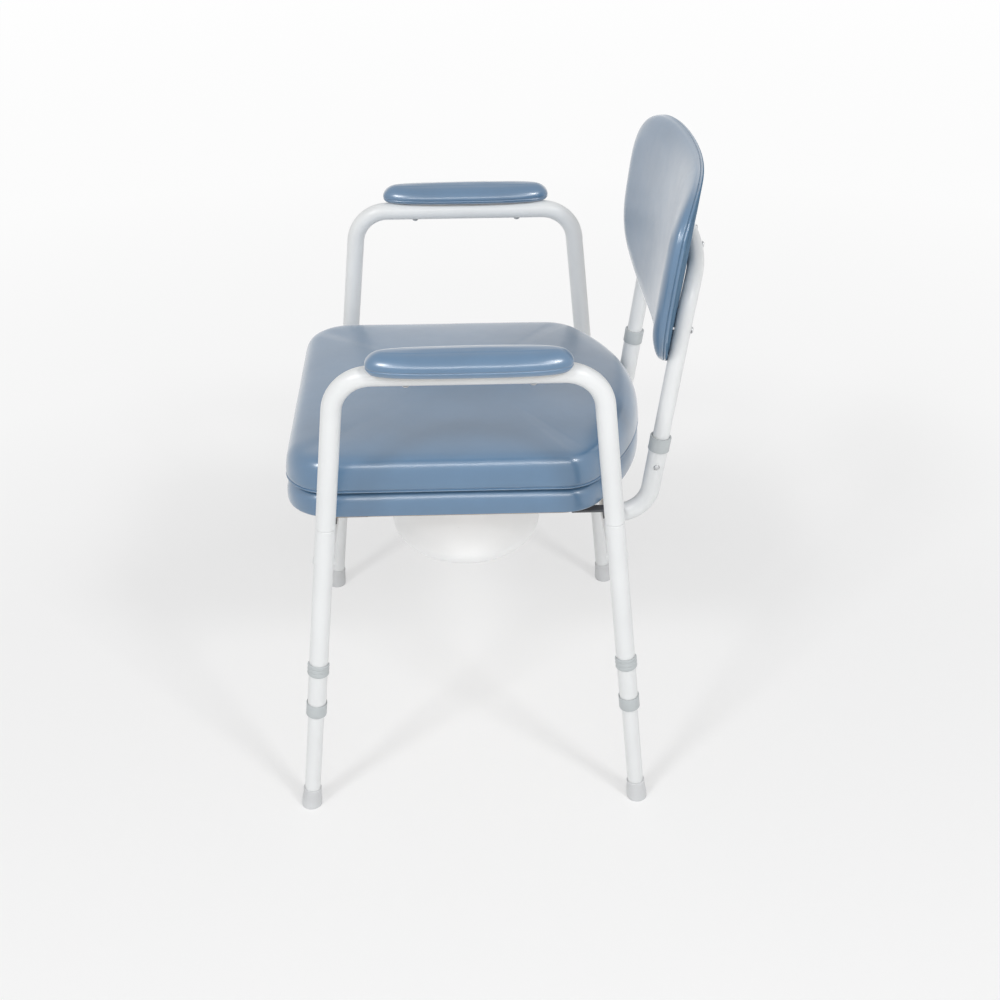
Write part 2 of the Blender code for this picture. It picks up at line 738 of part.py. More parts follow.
def build_back_cushion(tube, looks):
    """A board across the posts, the cushion that wraps it, and its screws."""
    facing = Matrix.Rotation(math.pi / 2, 4, "X")
    front = Matrix.Translation((0, -INNER_R - BACK_REST, 0))
    place = back_place(0.0, BACK_MID_Z) @ front @ facing

    bm = bmesh.new()
    outline = back_outline(BACK_BOARD_INSET)
    loops = panel_loops(outline, 0.0) + [at_height(outline, 0.0), at_height(outline, BACK_BOARD)]
    loops += panel_loops(outline, BACK_BOARD)[::-1]
    wrapped_loft(bm, loops)
    board = add_object("back_board", bm, looks["blue_vinyl"], None, place)

    pocket = back_outline(BACK_BOARD_INSET - FIT)
    loops = panel_loops(pocket, BACK_BOARD + FIT)
    loops += [at_height(pocket, BACK_BOARD + FIT), at_height(pocket, 0.0)]
    loops += [at_height(back_outline(BACK_EDGE_ROUND), 0.0), at_height(back_outline(0.0), BACK_EDGE_ROUND)]
    for step in range(SHOULDER_STEPS + 1):
        turn = math.pi / 2 * step / SHOULDER_STEPS
        inset = BACK_SHOULDER * (1 - math.cos(turn))
        loops.append(at_height(back_outline(inset), BACK_EDGE + (BACK_PAD - BACK_EDGE) * math.sin(turn)))
    loops += panel_loops(back_outline(BACK_SHOULDER), BACK_PAD, BACK_CROWN)[::-1]
    bm = bmesh.new()
    wrapped_loft(bm, loops)
    add_object("back_cushion", bm, looks["blue_vinyl"], None, place)

    holes = bmesh.new()
    bite = 2 * INNER_R + FIT + BACK_REST + SCREW_BITE
    middle = back_place(0.0, BACK_MID_Z)
    ahead = middle.to_3x3() @ Vector((0, -1, 0))
    bar_height = (BACK_TOP_Z - BACK_MID_Z) / math.cos(BACK_LEAN)
    places = {"lower": (SOCKET_X, -BACK_SCREW_DROP), "upper": (BAR_SCREW_X, bar_height)}
    for side_name, side in SIDES.items():
        for level, (x, height) in places.items():
            back = middle @ Vector((side * x, INNER_R + FIT + wrap_depth(x), height))
            sweep_rod(holes, back - ahead * INNER_R, back + ahead * (bite + FIT), SCREW_R + FIT, 10)
            bm = bmesh.new()
            screw(bm, back, ahead, bite)
            add_object(f"back_screw_{level}_{side_name}", bm, looks["zinc_steel"])
    tool = as_tool(add_object("back_screw_holes", holes, None))
    combine(tube, tool, "DIFFERENCE")
    combine(board, tool, "DIFFERENCE")


def build_snap_button(side_name, looks):
    """The button that locks a back post, and the leaf spring behind it."""
    side = SIDES[side_name]
    turn = Matrix.Rotation(side * math.pi / 2, 4, "Y")
    place = Matrix.Translation((side * SOCKET_X, back_y(BUTTON_Z), BUTTON_Z)) @ turn
    seat = INNER_BORE_R - BUTTON_FLANGE - FIT
    tip = TUBE_R + BUTTON_PROUD
    flange_r = BUTTON_R + 0.0016
    bm = bmesh.new()
    profile = [
        (0.0, seat - 0.0022), (flange_r, seat - 0.0022), (flange_r, seat - 0.0010),
        (BUTTON_R, seat - 0.0010), (BUTTON_R, tip - 0.0010), (BUTTON_R - 0.0010, tip), (0.0, tip),
    ]
    lathe(bm, profile, 12)
    add_object(f"snap_button_{side_name}", bm, looks["zinc_steel"], None, place)

    near = seat - 0.0022 - FIT - SPRING_STRIP
    far = -INNER_BORE_R + 0.0020
    path = [Vector((near, 0, 0.006)), Vector((near, 0, -SPRING_LEG + 0.006))]
    path += [Vector(((near + far) / 2, 0, -SPRING_LEG - 0.001))]
    path += [Vector((far, 0, -SPRING_LEG + 0.006)), Vector((far, 0, 0.006))]
    bm = bmesh.new()
    strip_loops = []
    for index, point in enumerate(path):
        before = path[max(index - 1, 0)]
        after = path[min(index + 1, len(path) - 1)]
        ahead = (after - before).normalized()
        outward = Vector((ahead.z, 0, -ahead.x)) * SPRING_STRIP
        wide = Vector((0, SPRING_WIDTH / 2, 0))
        strip_loops.append([point - wide, point + wide, point - outward + wide, point - outward - wide])
    loft(bm, strip_loops)
    spring_turn = Matrix.Rotation(0.0 if side > 0 else math.pi, 4, "Z")
    spring_place = back_place(side * SOCKET_X, BUTTON_Z) @ spring_turn
    add_object(f"snap_spring_{side_name}", bm, looks["zinc_steel"], None, spring_place)


def build_seat(looks):
    plan = seat_outline(SEAT_BOARD_INSET)
    hole = aperture(plan, 0.0)
    top = BOARD_Z + SEAT_BOARD
    bm = bmesh.new()
    loft(bm, [at_height(plan, BOARD_Z), at_height(plan, top),
              at_height(hole, top), at_height(hole, BOARD_Z)], ring=True)
    board = add_object("seat_board", bm, looks["plywood"])

    outer = ((0.0025, 0.0), (0.0, 0.30), (0.0004, 0.62), (0.0040, 0.86), (0.0110, 0.955), (0.0220, 0.99))
    inner = ((0.0200, 0.985), (0.0080, 0.92), (0.0020, 0.74), (0.0, 0.40), (0.0020, 0.0))
    loops = [at_height(seat_outline(inset), SEAT_Z + SEAT_PAD * share) for inset, share in outer]
    rim = seat_outline(0.0)
    middle = [((a[0] + b[0]) / 2, (a[1] + b[1]) / 2) for a, b in zip(rim, aperture(rim, 0.0))]
    loops.append(at_height(middle, SEAT_Z + SEAT_PAD))
    loops += [at_height(aperture(rim, grow), SEAT_Z + SEAT_PAD * share) for grow, share in inner]
    bm = bmesh.new()
    loft(bm, loops, ring=True)
    add_object("seat_cushion", bm, looks["blue_vinyl"])
    return board


def build_lid(looks):
    plan = seat_outline(LID_BOARD_INSET)
    bm = bmesh.new()
    loft(bm, [at_height(plan, LID_Z), at_height(plan, LID_Z + LID_BOARD)])
    add_object("lid_board", bm, looks["plywood"])
    bm = bmesh.new()
    loft(bm, padded_loops(seat_outline, SQUARE_SIDE, LID_PAD, LID_CROWN, LID_BOARD_INSET, LID_BOARD))
    add_object("lid_cushion", bm, looks["blue_vinyl"], None, Matrix.Translation((0, 0, LID_Z)))


def build_saddle(end, side_name, looks):
    """A saddle under the board that drops over a cross tube, with a moulded peg."""
    inward = 1 if end == "front" else -1
    y = leg_point(end, CROSS_Z)
    x = SIDES[side_name] * SADDLE_X
    half = SADDLE_WIDTH / 2
    top = BOARD_Z - FIT
    thin = top - SADDLE_LIP_THICK
    jaw_z = CROSS_TOP - SADDLE_JAW
    bore = TUBE_R + FIT
    reach = math.sqrt(bore ** 2 - (jaw_z - CROSS_Z) ** 2) + SADDLE_EDGE
    lip = y + inward * (reach + SADDLE_LIP)
    near = y + inward * reach
    far = y - inward * reach
    section = [(far, jaw_z), (near, jaw_z), (near, thin), (lip, thin), (lip, top), (far, top)]
    bm = bmesh.new()
    loft(bm, [[Vector((x - half, py, pz)) for py, pz in section],
              [Vector((x + half, py, pz)) for py, pz in section]])
    saddle = add_object(f"seat_saddle_{end}_{side_name}", bm, looks["black_plastic"])
    bm = bmesh.new()
    sweep_rod(bm, (x - SADDLE_WIDTH, y, CROSS_Z), (x + SADDLE_WIDTH, y, CROSS_Z), bore, 24)
    tool = as_tool(add_object(f"saddle_bore_{end}_{side_name}", bm, None))
    combine(saddle, tool, "DIFFERENCE")
    return saddle, [(x, y + inward * (reach + SADDLE_LIP * 0.8), SADDLE_LIP_THICK)]


def build_pan_guide(name, outward, looks):
    """An angle strip under the board, along X, whose ledge carries the pan's flange."""
    top = BOARD_Z - FIT
    low = top - GUIDE_DROP
    half = GUIDE_LENGTH / 2
    wall = PAN_Y + outward * (PAN_FLANGE_R + 2 * FIT)
    outer = wall + outward * GUIDE_THICK
    foot = outer + outward * GUIDE_FOOT
    ledge = wall - outward * GUIDE_LEDGE
    section = [
        (ledge, low), (outer, low), (outer, top - GUIDE_THICK), (foot, top - GUIDE_THICK),
        (foot, top), (wall, top), (wall, low + GUIDE_THICK), (ledge, low + GUIDE_THICK),
    ]
    bm = bmesh.new()
    loft(bm, [[Vector((-half, y, z)) for y, z in section], [Vector((half, y, z)) for y, z in section]])
    guide = add_object(f"pan_guide_{name}", bm, looks["grey_plastic"])
    peg_y = outer + outward * GUIDE_FOOT / 2
    return guide, [(side * GUIDE_PEG_X, peg_y, GUIDE_THICK) for side in SIDES.values()]


def build_pegs(board, pieces):
    """Moulded pegs that hold the saddles and guides in holes in the board."""
    holes = bmesh.new()
    for piece, places in pieces:
        bm = bmesh.new()
        for x, y, thick in places:
            root = BOARD_Z - FIT - thick / 2
            tip = BOARD_Z + PEG_BITE
            sweep_rod(bm, (x, y, root), (x, y, tip), PEG_R, 10)
            sweep_rod(holes, (x, y, root), (x, y, tip + FIT), PEG_R + FIT, 10)
        combine(piece, as_tool(add_object(f"pegs_of_{piece.name}", bm, None)), "UNION")
    combine(board, as_tool(add_object("peg_holes", holes, None)), "DIFFERENCE")


def build_pan(looks):
    """A round pan that hangs by its flange."""
    flange_z = BOARD_Z - FIT - GUIDE_DROP + GUIDE_THICK + FIT
    profile = [(0.0, PAN_BOTTOM_Z)]
    curve = PAN_ROUND
    steps = 6
    for step in range(steps + 1):
        turn = math.pi / 2 * step / steps
        r = PAN_FOOT_R - curve + curve * math.sin(turn)
        profile.append((r, PAN_BOTTOM_Z + curve - curve * math.cos(turn)))
    profile += [(PAN_TOP_R, flange_z), (PAN_FLANGE_R, flange_z), (PAN_FLANGE_R, flange_z + PAN_WALL)]
    profile += [(PAN_TOP_R - PAN_WALL, flange_z + PAN_WALL)]
    inside = curve - PAN_WALL
    for step in range(steps, -1, -1):
        turn = math.pi / 2 * step / steps
        r = PAN_FOOT_R - curve + inside * math.sin(turn)
        profile.append((r, PAN_BOTTOM_Z + PAN_WALL + inside - inside * math.cos(turn)))
    profile.append((0.0, PAN_BOTTOM_Z + PAN_WALL))
    bm = bmesh.new()
    lathe(bm, profile, 2 * RING_SIDES)
    add_object("pan", bm, looks["pan_plastic"], None, Matrix.Translation((0, PAN_Y, 0)))


def main():
    clear_scene()
    looks = {
        "white_coat": make_material("white_coat", (0.83, 0.84, 0.84), 0.32),
        "grey_plastic": make_material("grey_plastic", (0.50, 0.53, 0.54), 0.45),
        "grey_rubber": make_material("grey_rubber", (0.55, 0.56, 0.57), 0.65),
        "blue_vinyl": make_material("blue_vinyl", (0.12, 0.22, 0.36), 0.32),
        "plywood": make_material("plywood", (0.55, 0.38, 0.22), 0.70),
        "black_plastic": make_material("black_plastic", (0.03, 0.03, 0.035), 0.50),
        "pan_plastic": make_material("pan_plastic", (0.85, 0.85, 0.85), 0.40),
        "zinc_steel": make_material("zinc_steel", (0.60, 0.61, 0.62), 0.35, 1.0),
    }
    for end in ENDS:
        for side_name in SIDES:
            build_leg(end, side_name, looks)
        build_cross_tube(end, looks)
    for side_name in SIDES:
        build_arm(side_name, looks)
    build_arm_screws(looks)
    button_holes = [build_back_socket(side_name, looks) for side_name in SIDES]
    tube = build_back_tube(button_holes, looks)
    build_back_cushion(tube, looks)
    for side_name in SIDES:
        build_snap_button(side_name, looks)
    board = build_seat(looks)
    pieces = [build_saddle(end, side_name, looks) for end in ENDS for side_name in SIDES]
    pieces += [build_pan_guide("front", -1, looks), build_pan_guide("rear", 1, looks)]
    build_pegs(board, pieces)
    build_lid(looks)
    build_pan(looks)
    bpy.context.view_layer.update()


main()
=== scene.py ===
import math

import bmesh
import bpy
from mathutils import Matrix, Vector, noise


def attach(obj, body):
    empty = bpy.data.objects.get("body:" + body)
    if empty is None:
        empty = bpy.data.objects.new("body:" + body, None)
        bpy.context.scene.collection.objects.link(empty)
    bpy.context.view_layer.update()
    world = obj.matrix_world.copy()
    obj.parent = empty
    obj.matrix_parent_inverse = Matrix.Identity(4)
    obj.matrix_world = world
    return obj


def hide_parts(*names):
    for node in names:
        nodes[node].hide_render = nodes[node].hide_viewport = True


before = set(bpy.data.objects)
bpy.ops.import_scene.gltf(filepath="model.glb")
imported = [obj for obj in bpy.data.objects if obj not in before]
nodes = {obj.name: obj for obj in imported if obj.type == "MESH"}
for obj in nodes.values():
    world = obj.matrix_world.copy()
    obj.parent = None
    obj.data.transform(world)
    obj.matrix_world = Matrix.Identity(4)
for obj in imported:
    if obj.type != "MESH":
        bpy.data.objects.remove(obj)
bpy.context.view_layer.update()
print("frame loaded")

# the chair in metres, +z up, the sitter faces -y and their left is +x
chair = {
    "midY": -0.03575,      # midway between the feet
    "footSpan": 0.463,
    "sideX": 0.276,
    "frontLean": math.radians(6.16),
    "rearLean": math.radians(5.69),
    "tubeR": 0.0127,
    "thinR": 0.0110,
    "armZ": 0.675,
    "splitZ": 0.4627,      # where an arm loop plugs into a leg
    "crossZ": 0.408,
    "fit": 0.0003,
}
midY = chair["midY"]
tubeR = chair["tubeR"]
thinR = chair["thinR"]
sideSign = {"left": 1, "right": -1}
endLean = {"front": chair["frontLean"], "rear": -chair["rearLean"]}
endFoot = {"front": midY - chair["footSpan"] / 2, "rear": midY + chair["footSpan"] / 2}


# node helpers
def newMaterial(name):
    mat = bpy.data.materials.new(name)
    mat.use_nodes = True
    tree = mat.node_tree
    return mat, tree, tree.nodes["Principled BSDF"]


def objectCoord(tree):
    return tree.nodes.new("ShaderNodeTexCoord").outputs["Object"]


def stretched(tree, coord, scale):
    m = tree.nodes.new("ShaderNodeMapping")
    m.inputs["Scale"].default_value = scale
    tree.links.new(coord, m.inputs["Vector"])
    return m.outputs["Vector"]


def noiseNode(tree, coord, scale, detail=3.0, rough=0.5):
    n = tree.nodes.new("ShaderNodeTexNoise")
    n.inputs["Scale"].default_value = scale
    n.inputs["Detail"].default_value = detail
    n.inputs["Roughness"].default_value = rough
    tree.links.new(coord, n.inputs["Vector"])
    return n.outputs["Fac"]


def cellNode(tree, coord, scale, feature="F1"):
    v = tree.nodes.new("ShaderNodeTexVoronoi")
    v.feature = feature
    v.inputs["Scale"].default_value = scale
    tree.links.new(coord, v.inputs["Vector"])
    return v.outputs["Distance"]


def rampNode(tree, fac, stops):
    r = tree.nodes.new("ShaderNodeValToRGB")
    ramp = r.color_ramp
    while len(ramp.elements) < len(stops):
        ramp.elements.new(0.5)
    for e, (pos, col) in zip(ramp.elements, stops):
        e.position = pos
        e.color = (*col, 1.0)
    tree.links.new(fac, r.inputs["Fac"])
    return r.outputs["Color"]


def bumpNode(tree, height, strength, distance, normal=None):
    b = tree.nodes.new("ShaderNodeBump")
    b.inputs["Strength"].default_value = strength
    b.inputs["Distance"].default_value = distance
    tree.links.new(height, b.inputs["Height"])
    if normal is not None:
        tree.links.new(normal, b.inputs["Normal"])
    return b.outputs["Normal"]


def rangeNode(tree, value, low, high, fromLow=0.0, fromHigh=1.0):
    m = tree.nodes.new("ShaderNodeMapRange")
    m.inputs["From Min"].default_value = fromLow
    m.inputs["From Max"].default_value = fromHigh
    m.inputs["To Min"].default_value = low
    m.inputs["To Max"].default_value = high
    tree.links.new(value, m.inputs["Value"])
    return m.outputs["Result"]


def mathNode(tree, operation, a, b):
    m = tree.nodes.new("ShaderNodeMath")
    m.operation = operation
    tree.links.new(a, m.inputs[0])
    tree.links.new(b, m.inputs[1])
    return m.outputs["Value"]


def tint(colour, factor):
    return tuple(min(1.0, c * factor) for c in colour)


# powder coat: faint orange peel and very slight clouding
coatLook = {"colour": (0.755, 0.768, 0.772), "rough": 0.30, "peel": 0.00006,
            "cloudScale": 9.0, "peelScale": 520.0, "wearScale": 60.0}


def powderCoat():
    mat, tree, bsdf = newMaterial("powderCoat")
    co = objectCoord(tree)
    cloud = noiseNode(tree, co, coatLook["cloudScale"], 3.0)
    tree.links.new(rampNode(tree, cloud, [
        (0.30, tint(coatLook["colour"], 0.965)), (0.70, tint(coatLook["colour"], 1.02))]),
        bsdf.inputs["Base Color"])
    fine = noiseNode(tree, co, coatLook["peelScale"], 2.0)
    wear = noiseNode(tree, co, coatLook["wearScale"], 4.0)
    tree.links.new(rangeNode(tree, wear, coatLook["rough"] - 0.05, coatLook["rough"] + 0.07),
                   bsdf.inputs["Roughness"])
    tree.links.new(bumpNode(tree, fine, 0.35, coatLook["peel"]), bsdf.inputs["Normal"])
    bsdf.inputs["IOR"].default_value = 1.48
    return mat


# blue vinyl: fine pebble grain, wide soft pull marks
vinylLook = {"colour": (0.071, 0.162, 0.281), "rough": 0.32, "grain": 620.0, "pull": 26.0,
             "toneScale": 14.0, "wearScale": 38.0,
             "gloss": 1.0, "glossRough": 0.235, "glossIor": 1.72, "bloom": 0.30}


def blueVinyl():
    mat, tree, bsdf = newMaterial("blueVinyl")
    co = objectCoord(tree)
    tone = noiseNode(tree, co, vinylLook["toneScale"], 4.0, 0.6)
    tree.links.new(rampNode(tree, tone, [
        (0.28, tint(vinylLook["colour"], 0.93)), (0.52, vinylLook["colour"]),
        (0.76, tint(vinylLook["colour"], 1.08))]), bsdf.inputs["Base Color"])
    grain = cellNode(tree, co, vinylLook["grain"])
    wear = noiseNode(tree, co, vinylLook["wearScale"], 5.0, 0.6)
    tree.links.new(rangeNode(tree, wear, vinylLook["rough"] - 0.06, vinylLook["rough"] + 0.08),
                   bsdf.inputs["Roughness"])
    pulled = bumpNode(tree, noiseNode(tree, co, vinylLook["pull"], 2.0), 0.22, 0.0016)
    tree.links.new(bumpNode(tree, grain, 0.07, 0.00022, pulled), bsdf.inputs["Normal"])
    tree.links.new(pulled, bsdf.inputs["Coat Normal"])
    bsdf.inputs["IOR"].default_value = 1.50
    bsdf.inputs["Coat Weight"].default_value = vinylLook["gloss"]
    bsdf.inputs["Coat Roughness"].default_value = vinylLook["glossRough"]
    bsdf.inputs["Coat IOR"].default_value = vinylLook["glossIor"]
    bsdf.inputs["Sheen Weight"].default_value = vinylLook["bloom"]
    bsdf.inputs["Sheen Roughness"].default_value = 0.45
    return mat


# the back's rear cover: much the same blue, matt
coverLook = {"colour": (0.100, 0.180, 0.275), "rough": 0.85, "mottle": 40.0, "weave": 700.0}


def rearCover():
    mat, tree, bsdf = newMaterial("rearCover")
    co = objectCoord(tree)
    shades = [(0.3, tint(coverLook["colour"], 0.96)), (0.7, tint(coverLook["colour"], 1.10))]
    tree.links.new(rampNode(tree, noiseNode(tree, co, coverLook["mottle"], 4.0), shades),
                   bsdf.inputs["Base Color"])
    tree.links.new(bumpNode(tree, cellNode(tree, co, coverLook["weave"]), 0.2, 0.0003), bsdf.inputs["Normal"])
    bsdf.inputs["Roughness"].default_value = coverLook["rough"]
    bsdf.inputs["Specular IOR Level"].default_value = 0.12
    return mat


# moulded plastics and rubber
mouldScale = {"mottle": 32.0, "wear": 85.0}
mouldLooks = {
    "greyMould": {"colour": (0.475, 0.505, 0.515), "rough": 0.42, "bump": 0.00010,
                  "scale": 240.0, "mottle": 0.05},
    "footRubber": {"colour": (0.62, 0.63, 0.64), "rough": 0.62, "bump": 0.00018,
                   "scale": 420.0, "mottle": 0.05},
    "blackMould": {"colour": (0.085, 0.087, 0.094), "rough": 0.48, "bump": 0.00012,
                   "scale": 300.0, "mottle": 0.10},
    "panWhite": {"colour": (0.93, 0.935, 0.935), "rough": 0.30, "bump": 0.00008,
                 "scale": 90.0, "mottle": 0.012},
}


def moulded(name):
    look = mouldLooks[name]
    mat, tree, bsdf = newMaterial(name)
    co = objectCoord(tree)
    shades = [(0.25, tint(look["colour"], 1 - look["mottle"])),
              (0.75, tint(look["colour"], 1 + look["mottle"]))]
    tree.links.new(rampNode(tree, noiseNode(tree, co, mouldScale["mottle"], 4.0), shades),
                   bsdf.inputs["Base Color"])
    wear = noiseNode(tree, co, mouldScale["wear"], 3.0)
    tree.links.new(rangeNode(tree, wear, look["rough"] - 0.06, look["rough"] + 0.08),
                   bsdf.inputs["Roughness"])
    tree.links.new(bumpNode(tree, noiseNode(tree, co, look["scale"], 2.0), 0.4, look["bump"]),
                   bsdf.inputs["Normal"])
    return mat


# plywood: long grain on the faces, glued layers on the edges
plyLook = {"pale": (0.56, 0.40, 0.25), "dark": (0.36, 0.23, 0.13), "layer": 0.0015,
           "stretch": (60.0, 4.0, 60.0), "layerShare": 0.35}


def plywood():
    mat, tree, bsdf = newMaterial("plywood")
    co = objectCoord(tree)
    grain = noiseNode(tree, stretched(tree, co, plyLook["stretch"]), 2.2, 8.0, 0.65)
    face = rampNode(tree, grain, [(0.30, plyLook["dark"]), (0.62, plyLook["pale"]),
                                  (0.85, tint(plyLook["pale"], 1.12))])
    wave = tree.nodes.new("ShaderNodeTexWave")
    wave.bands_direction = "Z"
    wave.inputs["Scale"].default_value = 1 / (plyLook["layer"] * 20)
    wave.inputs["Distortion"].default_value = 0.6
    tree.links.new(co, wave.inputs["Vector"])
    layers = rampNode(tree, wave.outputs["Fac"], [(0.35, plyLook["dark"]), (0.65, plyLook["pale"])])
    mix = tree.nodes.new("ShaderNodeMix")
    mix.data_type = "RGBA"
    mix.inputs["Factor"].default_value = plyLook["layerShare"]
    tree.links.new(face, mix.inputs[6])
    tree.links.new(layers, mix.inputs[7])
    tree.links.new(mix.outputs[2], bsdf.inputs["Base Color"])
    tree.links.new(rangeNode(tree, grain, 0.58, 0.80), bsdf.inputs["Roughness"])
    tree.links.new(bumpNode(tree, grain, 0.3, 0.0003), bsdf.inputs["Normal"])
    return mat


# zinc plated screws, buttons and springs
zincLook = {"colour": (0.62, 0.63, 0.64), "rough": 0.28, "spangle": 420.0}


def zincPlate():
    mat, tree, bsdf = newMaterial("zincPlate")
    co = objectCoord(tree)
    spangle = noiseNode(tree, co, zincLook["spangle"], 3.0)
    tree.links.new(rampNode(tree, spangle, [
        (0.3, tint(zincLook["colour"], 0.82)), (0.7, tint(zincLook["colour"], 1.08))]),
        bsdf.inputs["Base Color"])
    tree.links.new(rangeNode(tree, spangle, zincLook["rough"] - 0.06, zincLook["rough"] + 0.12),
                   bsdf.inputs["Roughness"])
    bsdf.inputs["Metallic"].default_value = 1.0
    return mat


coat = powderCoat()
vinyl = blueVinyl()
cover = rearCover()
greyMould = moulded("greyMould")
footRubber = moulded("footRubber")
blackMould = moulded("blackMould")
panWhite = moulded("panWhite")
ply = plywood()
zinc = zincPlate()
print("materials ready")


# shape helpers
sharpAngle = 40.0


def meshFrom(name, bm):
    mesh = bpy.data.meshes.new(name)
    bm.to_mesh(mesh)
    bm.free()
    return mesh


def addObject(name, data):
    obj = bpy.data.objects.new(name, data)
    bpy.context.scene.collection.objects.link(obj)
    return obj


def finalMesh(obj):
    graph = bpy.context.evaluated_depsgraph_get()
    return bpy.data.meshes.new_from_object(obj.evaluated_get(graph))


def smoothed(mesh, sharp=sharpAngle):
    mesh.shade_smooth()
    mesh.set_sharp_from_angle(angle=math.radians(sharp))


# a finished piece: its mesh, finish and body, and the solid that it replaces
def settle(name, bm, mat, body, replaced, matrix=None, sharp=sharpAngle):
    if matrix is not None:
        bm.transform(matrix)
    bmesh.ops.recalc_face_normals(bm, faces=bm.faces)
    mesh = meshFrom(name, bm)
    smoothed(mesh, sharp)
    obj = addObject(name, mesh)
    mesh.materials.append(mat)
    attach(obj, body)
    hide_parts(*replaced)
    return obj


# cuts the shape in bm out of a piece
def carve(target, bm):
    bmesh.ops.recalc_face_normals(bm, faces=bm.faces)
    cutter = addObject("cutter", meshFrom("cutter", bm))
    mod = target.modifiers.new("holes", "BOOLEAN")
    mod.operation = "DIFFERENCE"
    mod.object = cutter
    bpy.context.view_layer.update()
    mesh = finalMesh(target)
    target.modifiers.clear()
    target.data = mesh
    smoothed(mesh)
    bpy.data.objects.remove(cutter)


def skin(bm, rows, ring=False):
    pairs = list(zip(rows, rows[1:]))
    if ring:
        pairs.append((rows[-1], rows[0]))
    for low, high in pairs:
        count = max(len(low), len(high))
        for i in range(count):
            j = (i + 1) % count
            if len(low) == 1:
                bm.faces.new((low[0], high[j], high[i]))
            elif len(high) == 1:
                bm.faces.new((low[i], low[j], high[0]))
            else:
                bm.faces.new((low[i], low[j], high[j], high[i]))


def turned(bm, profile, sides=48, matrix=None, ring=False):
    matrix = matrix or Matrix()
    rows = []
    for r, h in profile:
        if r == 0.0:
            rows.append([bm.verts.new(matrix @ Vector((0, 0, h)))])
            continue
        row = []
        for i in range(sides):
            a = math.tau * i / sides
            row.append(bm.verts.new(matrix @ Vector((r * math.cos(a), r * math.sin(a), h))))
        rows.append(row)
    skin(bm, rows, ring)


def bentPath(corners, radius, steps=20):
    path = [Vector(corners[0])]
    for before, corner, after in zip(corners, corners[1:], corners[2:]):
        corner = Vector(corner)
        come = (corner - Vector(before)).normalized()
        leave = (Vector(after) - corner).normalized()
        turn = come.angle(leave)
        start = corner - come * radius * math.tan(turn / 2)
        centre = corner + (leave - come).normalized() * (radius / math.cos(turn / 2))
        axis = come.cross(leave).normalized()
        for i in range(steps + 1):
            path.append(centre + Matrix.Rotation(turn * i / steps, 3, axis) @ (start - centre))
    path.append(Vector(corners[-1]))
    return path


# a tube along a path, flat or nearly so, hollow, its end edges rolled over a little
def tubeAlong(bm, path, normal, outer, inner, sides=40, roll=0.0006):
    normal = Vector(normal).normalized()
    path = [Vector(p) for p in path]
    first = (path[1] - path[0]).normalized()
    final = (path[-1] - path[-2]).normalized()
    path = [path[0], path[0] + first * roll] + path[1:-1] + [path[-1] - final * roll, path[-1]]
    last = len(path) - 1
    outRows, inRows = [], []
    for i, p in enumerate(path):
        come = (p - path[i - 1]).normalized() if i else first
        leave = (path[i + 1] - p).normalized() if i < last else final
        ahead = (come + leave).normalized()
        rise = (normal - ahead * normal.dot(ahead)).normalized()
        side = rise.cross(ahead)
        reduced = roll if i in (0, last) else 0.0
        for rows, r in ((outRows, outer - reduced), (inRows, inner)):
            row = []
            for k in range(sides):
                a = math.tau * k / sides
                row.append(bm.verts.new(p + (rise * math.cos(a) + side * math.sin(a)) * r))
            rows.append(row)
    skin(bm, outRows + inRows[::-1], ring=True)


def arcPoints(cx, cy, r, start, end, steps):
    return [(cx + r * math.cos(start + (end - start) * i / steps),
             cy + r * math.sin(start + (end - start) * i / steps)) for i in range(steps + 1)]


def straight(a, b, cuts):
    return [(a[0] + (b[0] - a[0]) * i / cuts, a[1] + (b[1] - a[1]) * i / cuts) for i in range(cuts + 1)]


def mirrored(half):
    return half + [(-x, y) for x, y in half[-2:0:-1]]


def legY(end, z):
    return endFoot[end] + math.tan(endLean[end]) * z


def legMatrix(end, side):
    m = Matrix.Translation((sideSign[side] * chair["sideX"], endFoot[end], 0.0))
    m = m @ Matrix.Rotation(-endLean[end], 4, "X")
    if sideSign[side] < 0:
        m = m @ Matrix.Rotation(math.pi, 4, "Z")
    return m


# legs: outer tube, inner tube, rubber foot, collar and ribbed clip
leg = {
    "tubeEnd": 0.169, "innerTop": 0.328, "innerFoot": 0.010, "wall": 0.0014, "thinWall": 0.0015,
    "clipAt": 0.2435, "holePitch": 0.025, "collarR": 0.0141, "collarTall": 0.020, "lip": 0.004,
    "ease": 0.0006, "waist": 0.00015, "mouth": 0.0004,
    "footR": 0.0142, "footTopR": 0.0122, "footTall": 0.0315, "footSpare": 0.006,
    "clipBand": 0.0013, "clipTall": 0.0185, "clipWrap": math.radians(178), "clipSteps": 36,
    "tipFrom": 0.9, "tipThin": 0.35, "rib": 0.0006, "ribs": 3, "clipSharp": 32.0,
    "pinR": 0.0032, "pinTip": 0.0057, "pinRoot": 0.0008,
    "holeFrom": 0.0034, "holeDeep": 0.006, "holesEachWay": 3,
}
# one rib of a clip: share of its height, share of its depth
ribShape = ((0.06, 0.0), (0.16, 0.55), (0.28, 0.95), (0.50, 1.0), (0.72, 0.95), (0.84, 0.55), (0.94, 0.0))


def collarProfile():
    r, h, e = leg["collarR"], leg["collarTall"], leg["ease"]
    inner, outer = thinR + chair["fit"], tubeR + chair["fit"]
    return [
        (inner, e), (inner + e, 0.0), (r - e, 0.0), (r - e * 0.3, e * 0.3), (r, e),
        (r - leg["waist"], h * 0.5), (r, h - e), (r - e * 0.3, h - e * 0.3), (r - e, h),
        (outer + leg["mouth"], h), (outer, h - e), (outer, leg["lip"]), (inner, leg["lip"]),
    ]


